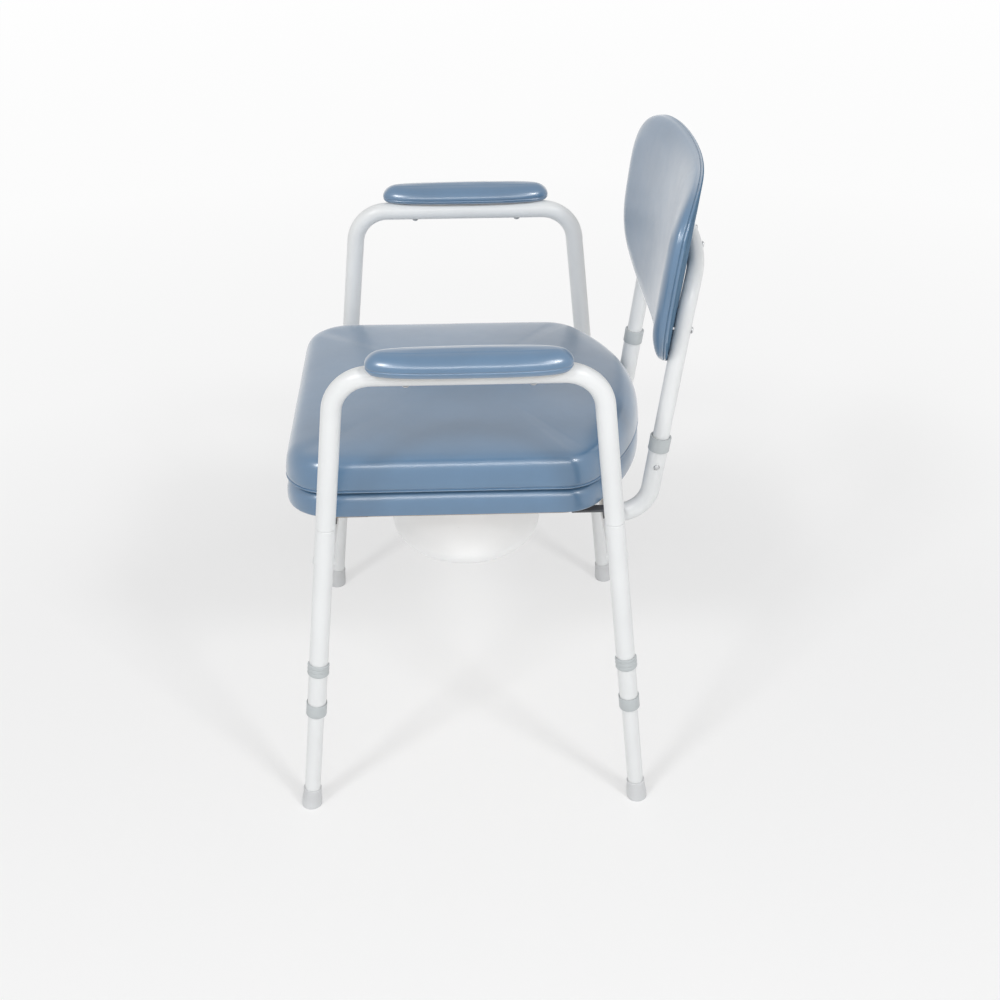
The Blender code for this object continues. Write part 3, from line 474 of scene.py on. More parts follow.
def footProfile():
    r, top, h = leg["footR"], leg["footTopR"], leg["footTall"]
    low, bore = -leg["footSpare"], thinR + chair["fit"]
    rows = [(0.0, low), (r - 0.0010, low), (r, 0.0022), (r, 0.0070)]
    rows += [(top + 0.0001, h - 0.0032), (top + 0.0003, h - 0.0026), (top + 0.0003, h - 0.0010)]
    rows += [(top - 0.0001, h - 0.0002), (top - 0.0004, h), (bore + 0.0002, h), (bore, h - 0.0006)]
    return rows + [(bore, leg["innerFoot"] - chair["fit"]), (0.0, leg["innerFoot"] - chair["fit"])]


# the foot's tread is cut level with the floor
def makeFoot(end, side, place):
    bm = bmesh.new()
    turned(bm, footProfile())
    floor = Matrix.Rotation(endLean[end] * sideSign[side], 3, "X") @ Vector((0, 0, 1))
    cut = bmesh.ops.bisect_plane(bm, geom=bm.verts[:] + bm.edges[:] + bm.faces[:],
                                 plane_co=(0, 0, 0), plane_no=floor, clear_inner=True)
    bmesh.ops.contextual_create(bm, geom=[g for g in cut["geom_cut"] if isinstance(g, bmesh.types.BMEdge)])
    settle(f"foot_{end}_{side}", bm, footRubber, f"leg_{end}_{side}", [f"ferrule_{end}_{side}"],
           place)


def clipShape(bm):
    inner = tubeR + chair["fit"]
    outer = inner + leg["clipBand"]
    pitch = leg["clipTall"] / leg["ribs"]
    profile = [(inner, 0.0003), (inner + 0.0004, 0.0)]
    for n in range(leg["ribs"]):
        profile += [(outer + leg["rib"] * lift, (n + share) * pitch) for share, lift in ribShape]
    profile += [(inner + 0.0004, leg["clipTall"]), (inner, leg["clipTall"] - 0.0003)]
    rows = []
    for i in range(leg["clipSteps"] + 1):
        turn = i / leg["clipSteps"] - 0.5
        a = leg["clipWrap"] * turn
        tip = max(0.0, abs(turn) * 2 - leg["tipFrom"]) / (1 - leg["tipFrom"])
        stout = 1.0 - leg["tipThin"] * tip               # the tips thin out
        row = []
        for r, h in profile:
            r = inner + (r - inner) * stout
            row.append(bm.verts.new((r * math.cos(a), r * math.sin(a), h)))
        rows.append(row)
    skin(bm, rows)
    bm.faces.new(list(reversed(rows[0])))
    bm.faces.new(rows[-1])
    r, tip, root = leg["pinR"], leg["pinTip"], inner + leg["pinRoot"]
    turned(bm, [(0.0, tip), (r - 0.0008, tip), (r, tip + 0.0009), (r, root), (0.0, root)], 20,
           Matrix.Translation((0, 0, leg["clipTall"] / 2)) @ Matrix.Rotation(math.pi / 2, 4, "Y"))


# holes for the clip's pin, along the outer side of an inner tube
def makePinHoles(inner, place):
    r, deep = leg["pinR"] + chair["fit"], leg["holeDeep"]
    bm = bmesh.new()
    for k in range(-leg["holesEachWay"], leg["holesEachWay"] + 1):
        at = Matrix.Translation((thinR - leg["holeFrom"], 0, leg["clipAt"] + k * leg["holePitch"]))
        turned(bm, [(0.0, 0.0), (r, 0.0), (r, deep), (0.0, deep)], 20,
               place @ at @ Matrix.Rotation(math.pi / 2, 4, "Y"))
    carve(inner, bm)


# a straight length of a leg, from low to high along its slope
def legLength(low, high, outer, inner, place):
    bm = bmesh.new()
    ends = [place @ Vector((0, 0, h)) for h in (low, high)]
    tubeAlong(bm, ends, place.to_3x3() @ Vector((1, 0, 0)), outer, inner)
    return bm


def makeLegs():
    for end in endLean:
        for side in sideSign:
            place = legMatrix(end, side)
            label = f"{end}_{side}"
            split = chair["splitZ"] / math.cos(endLean[end]) - chair["fit"] / 2
            bm = legLength(leg["tubeEnd"], split, tubeR, tubeR - leg["wall"], place)
            settle(f"legTube_{label}", bm, coat, "frame", [f"leg_tube_{label}"])

            bm = legLength(leg["innerFoot"], leg["innerTop"], thinR, thinR - leg["thinWall"], place)
            inner = settle(f"legInner_{label}", bm, coat, f"leg_{label}",
                           [f"leg_extension_{label}"])
            makePinHoles(inner, place)
            makeFoot(end, side, place)

            bm = bmesh.new()
            turned(bm, collarProfile(), ring=True)
            lift = Matrix.Translation((0, 0, leg["tubeEnd"] - chair["fit"] - leg["lip"]))
            settle(f"legCollar_{label}", bm, greyMould, "frame", [f"leg_collar_{label}"],
                   place @ lift)

            bm = bmesh.new()
            clipShape(bm)
            lift = Matrix.Translation((0, 0, leg["clipAt"] - leg["clipTall"] / 2))
            settle(f"legClip_{label}", bm, greyMould, f"clip_{label}", [f"leg_clip_{label}"],
                   place @ lift, leg["clipSharp"])


makeLegs()
print("legs made")

# arm loops, cross tubes and their weld beads
armLoop = {
    "bend": 0.050, "wall": 0.0014, "plug": 0.030, "plugWall": 0.0015, "plugRoot": 0.010,
    "bead": 0.0019, "bite": 0.0006, "beadPoints": 64, "beadStand": 0.0026, "puddle": 0.22, "puddleScale": 900,
}


def beadRing(name, points):
    curve = bpy.data.curves.new(name, "CURVE")
    curve.dimensions = "3D"
    curve.bevel_depth = armLoop["bead"]
    curve.bevel_resolution = 3
    spline = curve.splines.new("POLY")
    spline.points.add(len(points) - 1)
    for p, co in zip(spline.points, points):
        p.co = (*co, 1.0)
        # the puddles of a hand weld
        p.radius = 1.0 + armLoop["puddle"] * noise.noise(Vector(co) * armLoop["puddleScale"])
    spline.use_cyclic_u = True
    line = addObject(name, curve)
    mesh = finalMesh(line)
    bpy.data.objects.remove(line)
    mesh.shade_smooth()
    bead = addObject(name, mesh)
    mesh.materials.clear()
    mesh.materials.append(coat)
    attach(bead, "frame")


# points round a tube's end, as steps away from its middle
def ringSteps():
    turns = [math.tau * i / armLoop["beadPoints"] for i in range(armLoop["beadPoints"])]
    return [(tubeR * math.cos(a), tubeR * math.sin(a)) for a in turns]


def makeArmLoops():
    inner, low, high = thinR - armLoop["plugWall"], -armLoop["plug"], armLoop["plugRoot"]
    plug = [(inner, low), (thinR - 0.0006, low), (thinR, low + 0.0012), (thinR, high), (inner, high)]
    for side, sign in sideSign.items():
        x = sign * chair["sideX"]
        foot, top = chair["splitZ"] + chair["fit"] / 2, chair["armZ"]
        corners = [(x, legY("front", foot), foot), (x, legY("front", top), top),
                   (x, legY("rear", top), top), (x, legY("rear", foot), foot)]
        bm = bmesh.new()
        tubeAlong(bm, bentPath(corners, armLoop["bend"]), (1, 0, 0), tubeR, tubeR - armLoop["wall"])
        for end in endLean:
            m = Matrix.Translation((x, legY(end, chair["splitZ"]), chair["splitZ"]))
            turned(bm, plug, 40, m @ Matrix.Rotation(-endLean[end], 4, "X"), ring=True)
        settle(f"armLoop_{side}", bm, coat, "frame", [f"arm_loop_{side}"])


def makeCrossTubes():
    reach, z = chair["sideX"], chair["crossZ"]
    for end in endLean:
        y, slope = legY(end, z), math.tan(endLean[end])
        bm = bmesh.new()
        tubeAlong(bm, [(-reach, y, z), (reach, y, z)], (0, 1, 0), tubeR, tubeR - armLoop["wall"])
        for v in bm.verts:                   # the ends are coped to the leg
            away = v.co.y - y - slope * (v.co.z - z)
            cope = math.sqrt(max(0.0, (tubeR - armLoop["bite"]) ** 2 - away ** 2))
            v.co.x = math.copysign(abs(v.co.x) - cope, v.co.x)
        settle(f"crossTube_{end}", bm, coat, "frame", [f"{end}_cross_tube"])
        for side, sign in sideSign.items():
            points = []
            for dy, dz in ringSteps():
                inward = math.sqrt(max(0.0, (tubeR + armLoop["bite"]) ** 2 - (dy - slope * dz) ** 2))
                points.append((sign * (reach - max(inward, armLoop["beadStand"])), y + dy, z + dz))
            beadRing(f"legBead_{end}_{side}", points)


makeArmLoops()
makeCrossTubes()
print("arms and cross tubes made")

# the back: sockets, collars, buttons and hoop; its cushion and screws are made with the other pads
back = {
    "x": 0.1656, "lean": math.radians(7.3), "lineY": midY + 0.2510, "lineZ": 0.500,
    "socketBend": 0.045, "socketTop": 0.5205, "socketTail": 0.4, "wall": 0.0014, "thinWall": 0.0015,
    "postEnd": 0.455, "hoopTop": 0.740, "hoopBend": 0.055, "barSteps": 24,
    "buttonZ": 0.4835, "buttonR": 0.0036, "proud": 0.0012, "dome": 0.0014, "domeSteps": 6,
    "flange": 0.0016, "flangeTall": 0.0012, "flangeIn": 0.0037,
    "holeSpare": 0.0004, "holeFrom": 0.005, "holeTo": 0.03,
    "midZ": 0.7306, "halfWide": 0.214, "halfTall": 0.1306, "topPower": 4.1, "footPower": 2.65,
    "flare": 0.02, "wrap": 0.0222, "rest": 0.0007, "thick": 0.0232, "crown": 0.003,
    "edge": 0.0077, "shoulder": 0.030, "board": 0.006, "boardInset": 0.008,
    "pocketRings": 12, "shoulderSteps": 14, "faceRings": 14, "coverFrom": 0.5, "hold": 0.7, "fill": 0.8,
    "screwDrop": 0.0536, "barScrewX": 0.030,
}
screw = {"headR": 0.0045, "headTall": 0.0022, "shankR": 0.0025, "armGrip": 0.0044, "backGrip": 0.0048}


def backY(z):
    return back["lineY"] + math.tan(back["lean"]) * (z - back["lineZ"])


def backMatrix(x, z):
    return Matrix.Translation((x, backY(z), z)) @ Matrix.Rotation(-back["lean"], 4, "X")


# how far the board and the hoop's bar stand behind the line across the posts
def wrapDepth(x):
    return back["wrap"] * (1 - (x / back["x"]) ** 2)


# a domed screw with a recess, its head below and its shank up
def screwShape(bm, matrix, length):
    r, tall, shank = screw["headR"], screw["headTall"], screw["shankR"]
    profile = [(0.0, -tall * 0.62), (r * 0.22, -tall * 0.64)]
    profile += [(r * 0.55, -tall), (r * 0.80, -tall * 0.88), (r * 0.95, -tall * 0.52), (r, -tall * 0.20),
                (r, 0.0), (shank, 0.0), (shank, length), (0.0, length)]
    turned(bm, profile, 28, matrix)


# the way a button points, outwards through the side of its post
def buttonMatrix(sign):
    m = Matrix.Translation((sign * back["x"], backY(back["buttonZ"]), back["buttonZ"]))
    return m @ Matrix.Rotation(sign * math.pi / 2, 4, "Y")


def makeButtonHole(target, sign):
    r, low, high = back["buttonR"] + back["holeSpare"], back["holeFrom"], back["holeTo"]
    bm = bmesh.new()
    turned(bm, [(0.0, low), (r, low), (r, high), (0.0, high)], 28, buttonMatrix(sign))
    carve(target, bm)


def makeButton(side, sign):
    r, dome, steps = back["buttonR"], back["dome"], back["domeSteps"]
    wide = r + back["flange"]
    base = thinR - back["thinWall"] - back["flangeIn"]
    neck = base + back["flangeTall"]
    shoulder = tubeR + back["proud"] - dome
    profile = [(0.0, base), (wide, base), (wide, neck), (r, neck), (r, shoulder)]
    for i in range(1, steps):
        a = math.pi / 2 * i / steps
        profile.append((r * math.cos(a), shoulder + dome * math.sin(a)))
    profile.append((0.0, shoulder + dome))
    bm = bmesh.new()
    turned(bm, profile, 32, buttonMatrix(sign))
    settle(f"backButton_{side}", bm, zinc, f"button_{side}", [f"snap_button_{side}"])


def makeSockets():
    crossY, crossZ = legY("rear", chair["crossZ"]), chair["crossZ"]
    for side, sign in sideSign.items():
        x = sign * back["x"]
        corners = [(x, backY(back["socketTop"]), back["socketTop"]), (x, backY(crossZ), crossZ),
                   (x, crossY + tubeR * back["socketTail"], crossZ)]
        bm = bmesh.new()
        tubeAlong(bm, bentPath(corners, back["socketBend"]), (1, 0, 0), tubeR, tubeR - back["wall"])
        socket = settle(f"backSocket_{side}", bm, coat, "frame", [f"back_socket_{side}"])
        makeButtonHole(socket, sign)
        points = []
        for dx, dz in ringSteps():
            behind = math.sqrt(max(0.0, tubeR ** 2 - dz ** 2))
            points.append((x + dx, crossY + max(behind, armLoop["beadStand"]), crossZ + dz))
        beadRing(f"socketBead_{side}", points)
        bm = bmesh.new()
        turned(bm, collarProfile(), ring=True)
        m = backMatrix(x, back["socketTop"]) @ Matrix.Translation((0, 0, leg["lip"] + chair["fit"]))
        settle(f"backCollar_{side}", bm, greyMould, "frame", [f"back_collar_{side}"],
               m @ Matrix.Rotation(math.pi, 4, "X"))
        makeButton(side, sign)


# the hoop's posts stand straight, and its bar is bowed to the rear
def makeHoop():
    corners = [(s * back["x"], backY(z), z) for s, z in
               ((1, back["postEnd"]), (1, back["hoopTop"]), (-1, back["hoopTop"]), (-1, back["postEnd"]))]
    normal = Matrix.Rotation(-back["lean"], 3, "X") @ Vector((0, 1, 0))
    path = bentPath(corners, back["hoopBend"])
    mid, steps = len(path) // 2, back["barSteps"]
    path[mid:mid] = [path[mid - 1].lerp(path[mid], i / steps) for i in range(1, steps)]
    path = [p + normal * wrapDepth(p.x) for p in path]
    bm = bmesh.new()
    tubeAlong(bm, path, normal, thinR, thinR - back["thinWall"])
    hoop = settle("backHoop", bm, coat, "backrest", ["back_tube"])
    for sign in sideSign.values():
        makeButtonHole(hoop, sign)


makeSockets()
makeHoop()
print("back frame made")


# cushions: outlines first, then loops from the board pocket up over the crown
seat = {
    "half": 0.220, "front": midY - 0.241, "rear": midY + 0.242, "corner": 0.062, "rearCorner": 0.060,
    "bow": 0.310, "frontCuts": 11, "sideCuts": 18, "cornerCuts": 16, "rearCuts": 14,
    "boardZ": 0.4290, "board": 0.012, "thick": 0.0362, "hold": 0.08, "cap": 0.0015, "fill": 0.85,
    "holeX": 0.095, "holeY": 0.120, "holeMidY": midY - 0.010,
    "topShares": (0.30, 0.50, 0.70), "topFall": 0.05,
}
seat["z"] = seat["boardZ"] + seat["board"] + chair["fit"]
lid = {"thick": 0.046, "crown": 0.008, "board": 0.006, "inset": 0.008,
       "hang": 0.0, "hold": 0.15, "fill": 0.85}
lid["z"] = seat["z"] + seat["thick"] + chair["fit"]
arm = {
    "y": midY + 0.0045, "out": 0.010, "half": 0.027, "halfLong": 0.124, "power": 3.0,
    "thick": 0.0243, "crown": 0.0027, "board": 0.005, "inset": 0.009,
    "hang": 0.0032, "hold": 0.30, "fill": 0.9, "screwY": 0.0765,
}


def seatOutline(inset):
    half, front, rear = seat["half"] - inset, seat["front"] + inset, seat["rear"] - inset
    corner, rearCorner, bow = seat["corner"] - inset, seat["rearCorner"] - inset, seat["bow"] - inset
    bowY = rear - bow
    reach = half - rearCorner
    cy = bowY + math.sqrt((bow - rearCorner) ** 2 - reach ** 2)
    meet = math.atan2(cy - bowY, reach)
    right = straight((0.0, front), (half - corner, front), seat["frontCuts"])[:-1]
    right += arcPoints(half - corner, front + corner, corner, -math.pi / 2, 0.0, seat["cornerCuts"])
    right += straight((half, front + corner), (half, cy), seat["sideCuts"])[1:-1]
    right += arcPoints(reach, cy, rearCorner, 0.0, meet, seat["rearCuts"])
    right += arcPoints(0.0, bowY, bow, meet, math.pi / 2, seat["rearCuts"])[1:]
    right[-1] = (0.0, rear)
    return mirrored(right)


def roundOutline(halfX, halfY, lowPower, highPower, steps=64):
    right = []
    for i in range(steps + 1):
        a = math.pi * (i / steps - 0.5)
        power = highPower if a > 0 else lowPower
        reach = (math.cos(a) ** power + abs(math.sin(a)) ** power) ** (-1 / power)
        right.append((halfX * reach * math.cos(a), halfY * reach * math.sin(a)))
    return mirrored(right)


def armOutline(inset):
    return roundOutline(arm["half"] - inset, arm["halfLong"] - inset, arm["power"], arm["power"])


def backOutline(inset):
    tall = back["halfTall"] - inset
    plain = roundOutline(back["halfWide"] - inset, tall, back["footPower"], back["topPower"])
    return [(x * (1 + back["flare"] * y / tall), y) for x, y in plain]


def shrunk(outline, factor):
    mid = (min(p[1] for p in outline) + max(p[1] for p in outline)) / 2
    return [(x * factor, mid + (y - mid) * factor) for x, y in outline]


def level(bm, outline, z):
    return [bm.verts.new((x, y, z)) for x, y in outline]


# foam pushes the vinyl out from its held hem: cloth under pressure, each point's travel capped
swell = {"quality": 5, "mass": 0.3, "stretch": 30.0, "shear": 15.0, "bend": 1.5, "pressure": 4.0,
         "frames": 20, "evenings": 6, "cap": 0.0020}


# each point's travel becomes the mean of its own and its neighbours'
def evened(mesh, moves, fixed):
    near = [move.copy() for move in moves]
    count = [1] * len(moves)
    for edge in mesh.edges:
        a, b = edge.vertices
        near[a] += moves[b]
        near[b] += moves[a]
        count[a] += 1
        count[b] += 1
    return [moves[i] if i in fixed else near[i] / count[i] for i in range(len(moves))]


def plump(obj, held, cap, ceiling=None):
    hem = obj.vertex_groups.new(name="hem")
    hem.add(held, 1.0, "REPLACE")
    mod = obj.modifiers.new("swell", "CLOTH")
    cloth = mod.settings
    cloth.quality = swell["quality"]
    cloth.mass = swell["mass"]
    cloth.tension_stiffness = swell["stretch"]
    cloth.compression_stiffness = swell["stretch"]
    cloth.shear_stiffness = swell["shear"]
    cloth.bending_stiffness = swell["bend"]
    cloth.vertex_group_mass = hem.name
    cloth.use_pressure = True
    cloth.uniform_pressure_force = swell["pressure"]
    cloth.effector_weights.gravity = 0.0
    mod.point_cache.frame_start = 1
    mod.point_cache.frame_end = swell["frames"]
    scene = bpy.context.scene
    for step in range(1, swell["frames"] + 1):
        scene.frame_set(step)
    swollen = obj.evaluated_get(bpy.context.evaluated_depsgraph_get()).data
    moves = [w.co - v.co for v, w in zip(obj.data.vertices, swollen.vertices)]
    far = max(move.length for move in moves)
    moves = [move * min(1.0, cap / max(move.length, 1e-9)) for move in moves]
    fixed = set(held)
    for evening in range(swell["evenings"]):
        moves = evened(obj.data, moves, fixed)
    for v, move in zip(obj.data.vertices, moves):
        v.co += move
        if ceiling is not None:
            v.co.z = min(v.co.z, ceiling)
    print(f"{obj.name} swelled, {far * 1000:.1f} mm before the cap")
    obj.modifiers.remove(mod)
    obj.vertex_groups.remove(hem)
    scene.frame_set(1)


def soften(obj):
    mod = obj.modifiers.new("soft", "SUBSURF")
    mod.levels = 1
    mod.render_levels = 1


# the sides of the pads, from hem past seam groove and bulge to shoulder: inset, share of the thickness
squareSide = (
    (0.0030, 0.000), (0.0010, 0.008), (0.0002, 0.022), (0.0002, 0.040), (0.0012, 0.056),
    (0.0024, 0.062), (0.0024, 0.072), (0.0012, 0.090), (0.0005, 0.14), (0.0001, 0.24), (0.0, 0.36),
    (0.0005, 0.48), (0.0014, 0.59), (0.0029, 0.69), (0.0049, 0.78), (0.0073, 0.855), (0.0101, 0.915),
    (0.0135, 0.958), (0.0178, 0.985), (0.0228, 0.998),
)
roundSide = (
    (0.0056, 0.000), (0.0036, 0.030), (0.0020, 0.090), (0.0008, 0.170), (0.0002, 0.235), (0.0010, 0.262),
    (0.0012, 0.275), (0.0004, 0.295), (0.0, 0.34), (0.0004, 0.42), (0.0014, 0.52), (0.0030, 0.62),
    (0.0052, 0.72), (0.0080, 0.82), (0.0112, 0.90), (0.0148, 0.96), (0.0185, 0.995),
)
seatSide = (
    (0.0024, 0.0), (0.0008, 0.03), (0.0001, 0.10), (0.0, 0.26), (0.0002, 0.42), (0.0009, 0.56),
    (0.0024, 0.68), (0.0047, 0.78), (0.0078, 0.865), (0.0116, 0.925), (0.0160, 0.962), (0.0220, 0.985),
)
# the same round the seat's opening: growth of the opening, share of the thickness
holeSide = (
    (0.0260, 0.985), (0.0150, 0.955), (0.0080, 0.89), (0.0036, 0.79), (0.0010, 0.65),
    (0.0, 0.46), (0.0004, 0.24), (0.0020, 0.0),
)
crownSteps = (0.96, 0.90, 0.82, 0.72, 0.60, 0.46, 0.30, 0.14)
vinylSharp = 60.0
railClear = {"from": 0.0145, "over": 0.007, "upTo": 0.4}
handwork = {"from": 0.15, "lift": 0.0004, "liftScale": 17, "sway": 0.0012, "swayScale": 23, "shift": 7}


# slight unevenness of hand upholstery, above the hem
def uneven(bm, thick):
    for v in bm.verts:
        if v.co.z > thick * handwork["from"]:
            v.co.z += handwork["lift"] * noise.noise(v.co * handwork["liftScale"])
            at = Vector((v.co.x, v.co.y, v.co.z + handwork["shift"]))
            v.co.xy *= 1 + handwork["sway"] * noise.noise(at * handwork["swayScale"])


def padMesh(name, pad, outline, side, matrix, body, replaced, rail=0.0):
    bm = bmesh.new()
    thick, deep = pad["thick"], pad["board"] + chair["fit"]
    rim = outline(pad["inset"] - chair["fit"])
    shoulder = outline(side[-1][0])
    pocket = [[bm.verts.new((0, sum(y for x, y in rim) / len(rim), deep))]]
    pocket += [level(bm, shrunk(rim, 0.5), deep), level(bm, rim, deep), level(bm, rim, 0.0)]
    wall = [level(bm, outline(i), thick * share) for i, share in side]
    crown = [level(bm, shrunk(shoulder, f), thick) for f in crownSteps]
    crown.append([bm.verts.new((0, shrunk(shoulder, 0.0)[0][1], thick))])
    skin(bm, pocket + wall + crown)
    halfX = max(x for x, y in shoulder)
    lowY, highY = min(y for x, y in shoulder), max(y for x, y in shoulder)
    for v in [v for row in crown for v in row]:          # smooth over the corners
        u, w = v.co.x / halfX, (2 * v.co.y - lowY - highY) / (highY - lowY)
        v.co.z += pad["crown"] * (1 - u * u) * (1 - w * w)
    for v in [v for row in wall for v in row]:           # the hem hangs clear of the rail
        clear = min(1.0, max(0.0, (abs(v.co.x - rail) - railClear["from"]) / railClear["over"]))
        v.co.z -= pad["hang"] * clear * max(0.0, 1 - v.co.z / (thick * railClear["upTo"]))
    uneven(bm, thick)
    obj = settle(name, bm, vinyl, body, replaced, matrix, vinylSharp)
    hemTop = matrix.translation.z + thick * pad["hold"]
    plump(obj, [v.index for v in obj.data.vertices if v.co.z < hemTop], swell["cap"])
    soften(obj)


def holeOutline(outline, grow):
    out = []
    for x, y in outline:
        a = math.atan2((y - seat["holeMidY"]) / seat["holeY"], x / seat["holeX"])
        out.append(((seat["holeX"] + grow) * math.cos(a),
                    seat["holeMidY"] + (seat["holeY"] + grow) * math.sin(a)))
    return out


def makeSeat():
    z, t = seat["z"], seat["thick"]
    bm = bmesh.new()
    rows = [level(bm, seatOutline(i), z + t * share) for i, share in seatSide]
    rim = seatOutline(0.0)
    hole = holeOutline(rim, 0.0)
    for share in seat["topShares"]:
        mix = [(a[0] + (b[0] - a[0]) * share, a[1] + (b[1] - a[1]) * share) for a, b in zip(rim, hole)]
        rows.append(level(bm, mix, z + t * (1.0 - seat["topFall"] * abs(share - 0.5))))
    rows += [level(bm, holeOutline(rim, grow), z + t * share) for grow, share in holeSide]
    skin(bm, rows, ring=True)
    obj = settle("seatPad", bm, vinyl, "seat", ["seat_cushion"], None, vinylSharp)
    hemTop = z + t * seat["hold"]
    plump(obj, [v.index for v in obj.data.vertices if v.co.z < hemTop], seat["cap"], z + t)
    soften(obj)


def makeLid():
    padMesh("lidPad", lid, seatOutline, squareSide, Matrix.Translation((0, 0, lid["z"])), "lid",
            ["lid_cushion"])


def makeArmPads():
    for side, sign in sideSign.items():
        x, out = sign * chair["sideX"], sign * arm["out"]
        place = Matrix.Translation((x + out, arm["y"], chair["armZ"] + tubeR + chair["fit"]))
        padMesh(f"armPad_{side}", arm, armOutline, roundSide, place, "frame", [f"arm_pad_{side}"], -out)
        for end, offset in (("front", -arm["screwY"]), ("rear", arm["screwY"])):
            bm = bmesh.new()
            m = Matrix.Translation((x, arm["y"] + offset, chair["armZ"] - tubeR - chair["fit"]))
            screwShape(bm, m, 2 * tubeR + screw["armGrip"])
            settle(f"armScrew_{end}_{side}", bm, zinc, "frame", [f"arm_screw_{end}_{side}"])


def makeBackPad():
    facing = Matrix.Rotation(math.pi / 2, 4, "X")
    m = backMatrix(0.0, back["midZ"]) @ Matrix.Translation((0, -thinR - back["rest"], 0)) @ facing
    edge, thick, shoulder = back["edge"], back["thick"], back["shoulder"]
    rings, steps, faceRings = back["pocketRings"], back["shoulderSteps"], back["faceRings"]
    bm = bmesh.new()
    pocket = backOutline(back["boardInset"] - chair["fit"])
    deep = back["board"] + chair["fit"]
    rows = [[bm.verts.new((0, 0, deep))]]
    rows += [level(bm, shrunk(pocket, i / rings), deep) for i in range(1, rings + 1)]
    rows.append(level(bm, pocket, 0.0))
    # the band round the edge with its seam: inset, height
    band = ((0.0020, 0.0), (0.0008, 0.0006), (0.0, 0.0018), (0.0, edge * 0.44), (0.0004, edge * 0.52),
            (0.0013, edge * 0.56), (0.0013, edge * 0.61), (0.0004, edge * 0.69), (0.0, edge * 0.80),
            (0.0, edge * 0.92), (0.0004, edge * 1.12))
    rows += [level(bm, backOutline(i), h) for i, h in band]
    for i in range(2, steps + 1):
        a = math.pi / 2 * i / steps
        rows.append(level(bm, backOutline(shoulder * (1 - math.cos(a))), edge + (thick - edge) * math.sin(a)))
    face = backOutline(shoulder)
    for i in range(faceRings - 1, 0, -1):
        share = i / faceRings
        rows.append(level(bm, shrunk(face, share), thick + back["crown"] * (1 - share ** 2)))
    rows.append([bm.verts.new((0, 0, thick + back["crown"]))])
    skin(bm, rows)
    for v in bm.verts:
        v.co.z -= wrapDepth(v.co.x)
    obj = settle("backPad", bm, vinyl, "backrest", ["back_cushion"], m, vinylSharp)
    obj.data.materials.append(cover)
    behind = m.to_3x3() @ Vector((0, 0, -1))
    for f in obj.data.polygons:
        if f.normal.dot(behind) > back["coverFrom"]:
            f.material_index = 1
    inward = m.inverted()
    flat = [inward @ v.co for v in obj.data.vertices]
    held = [i for i, p in enumerate(flat) if p.z + wrapDepth(p.x) < edge * back["hold"]]
    plump(obj, held, swell["cap"])
    soften(obj)


def makeBackScrews():
    mid = backMatrix(0.0, back["midZ"])
    barHeight = (back["hoopTop"] - back["midZ"]) / math.cos(back["lean"])
    places = {"lower": (back["x"], -back["screwDrop"]), "upper": (back["barScrewX"], barHeight)}
    for side, sign in sideSign.items():
        for height, (x, z) in places.items():
            bm = bmesh.new()
            m = mid @ Matrix.Translation((sign * x, thinR + chair["fit"] + wrapDepth(x), z))
            screwShape(bm, m @ Matrix.Rotation(math.pi / 2, 4, "X"), 2 * thinR + screw["backGrip"])
            settle(f"backScrew_{height}_{side}", bm, zinc, "backrest", [f"back_screw_{height}_{side}"])


makeSeat()
makeLid()
makeArmPads()
makeBackPad()
makeBackScrews()
print("cushions made")

# the pan: rolled rim, straight drafted wall, well-rounded foot
pan = {"y": midY - 0.004, "bottom": 0.272, "flangeR": 0.135, "wall": 0.003, "topR": 0.119,
       "footR": 0.108, "round": 0.042, "roundSteps": 14, "flangeZ": 0.4140}


def makePan():
    r, w, b, steps = pan["round"], pan["wall"], pan["bottom"], pan["roundSteps"]
    z, top, f = pan["flangeZ"], pan["topR"], pan["flangeR"]
    middle, inside = pan["footR"] - r, r - w
    turns = [math.pi / 2 * i / steps for i in range(steps + 1)]
    profile = [(0.0, b + 0.0012), (0.030, b + 0.0011), (0.048, b + 0.0006), (0.056, b)]
    profile += [(middle + r * math.sin(a), b + r - r * math.cos(a)) for a in turns[1:]]
    profile += [(top - 0.0006, z - 0.004), (top + 0.0008, z - 0.0006), (top + 0.002, z)]
    profile += [(f - 0.0010, z), (f, z + 0.0008), (f, z + w - 0.0008), (f - 0.0010, z + w)]
    profile += [(top - w + 0.0015, z + w), (top - w, z + w - 0.0015)]
    profile += [(middle + inside * math.sin(a), b + w + inside - inside * math.cos(a)) for a in turns[::-1]]
    profile.append((0.0, b + w))
    bm = bmesh.new()
    turned(bm, profile, 96)
    settle("pan_body", bm, panWhite, "pan", ["pan"], Matrix.Translation((0, pan["y"], 0)))


makePan()
print("pan made")

# the pieces whose solid is already right keep it, with softened edges and their own finish
keptFinish = {"seat_saddle": blackMould, "pan_guide": greyMould, "snap_spring": zinc, "seat_board": ply,
              "lid_board": ply, "back_board": cover, "arm_board": ply}
keptSoft = ("seat_saddle", "pan_guide", "seat_board", "back_board", "arm_board")
keptEdge = {"width": 0.0005, "segments": 2, "angle": math.radians(50)}


def dressNodes():
    for name, obj in nodes.items():
        if obj.hide_render:
            continue
        for start, mat in keptFinish.items():
            if name.startswith(start):
                obj.data.materials.clear()
                obj.data.materials.append(mat)
        if name.startswith(keptSoft):
            mod = obj.modifiers.new("edges", "BEVEL")
            mod.width = keptEdge["width"]
            mod.segments = keptEdge["segments"]
            mod.limit_method = "ANGLE"
            mod.angle_limit = keptEdge["angle"]


dressNodes()
print("kept solids dressed")

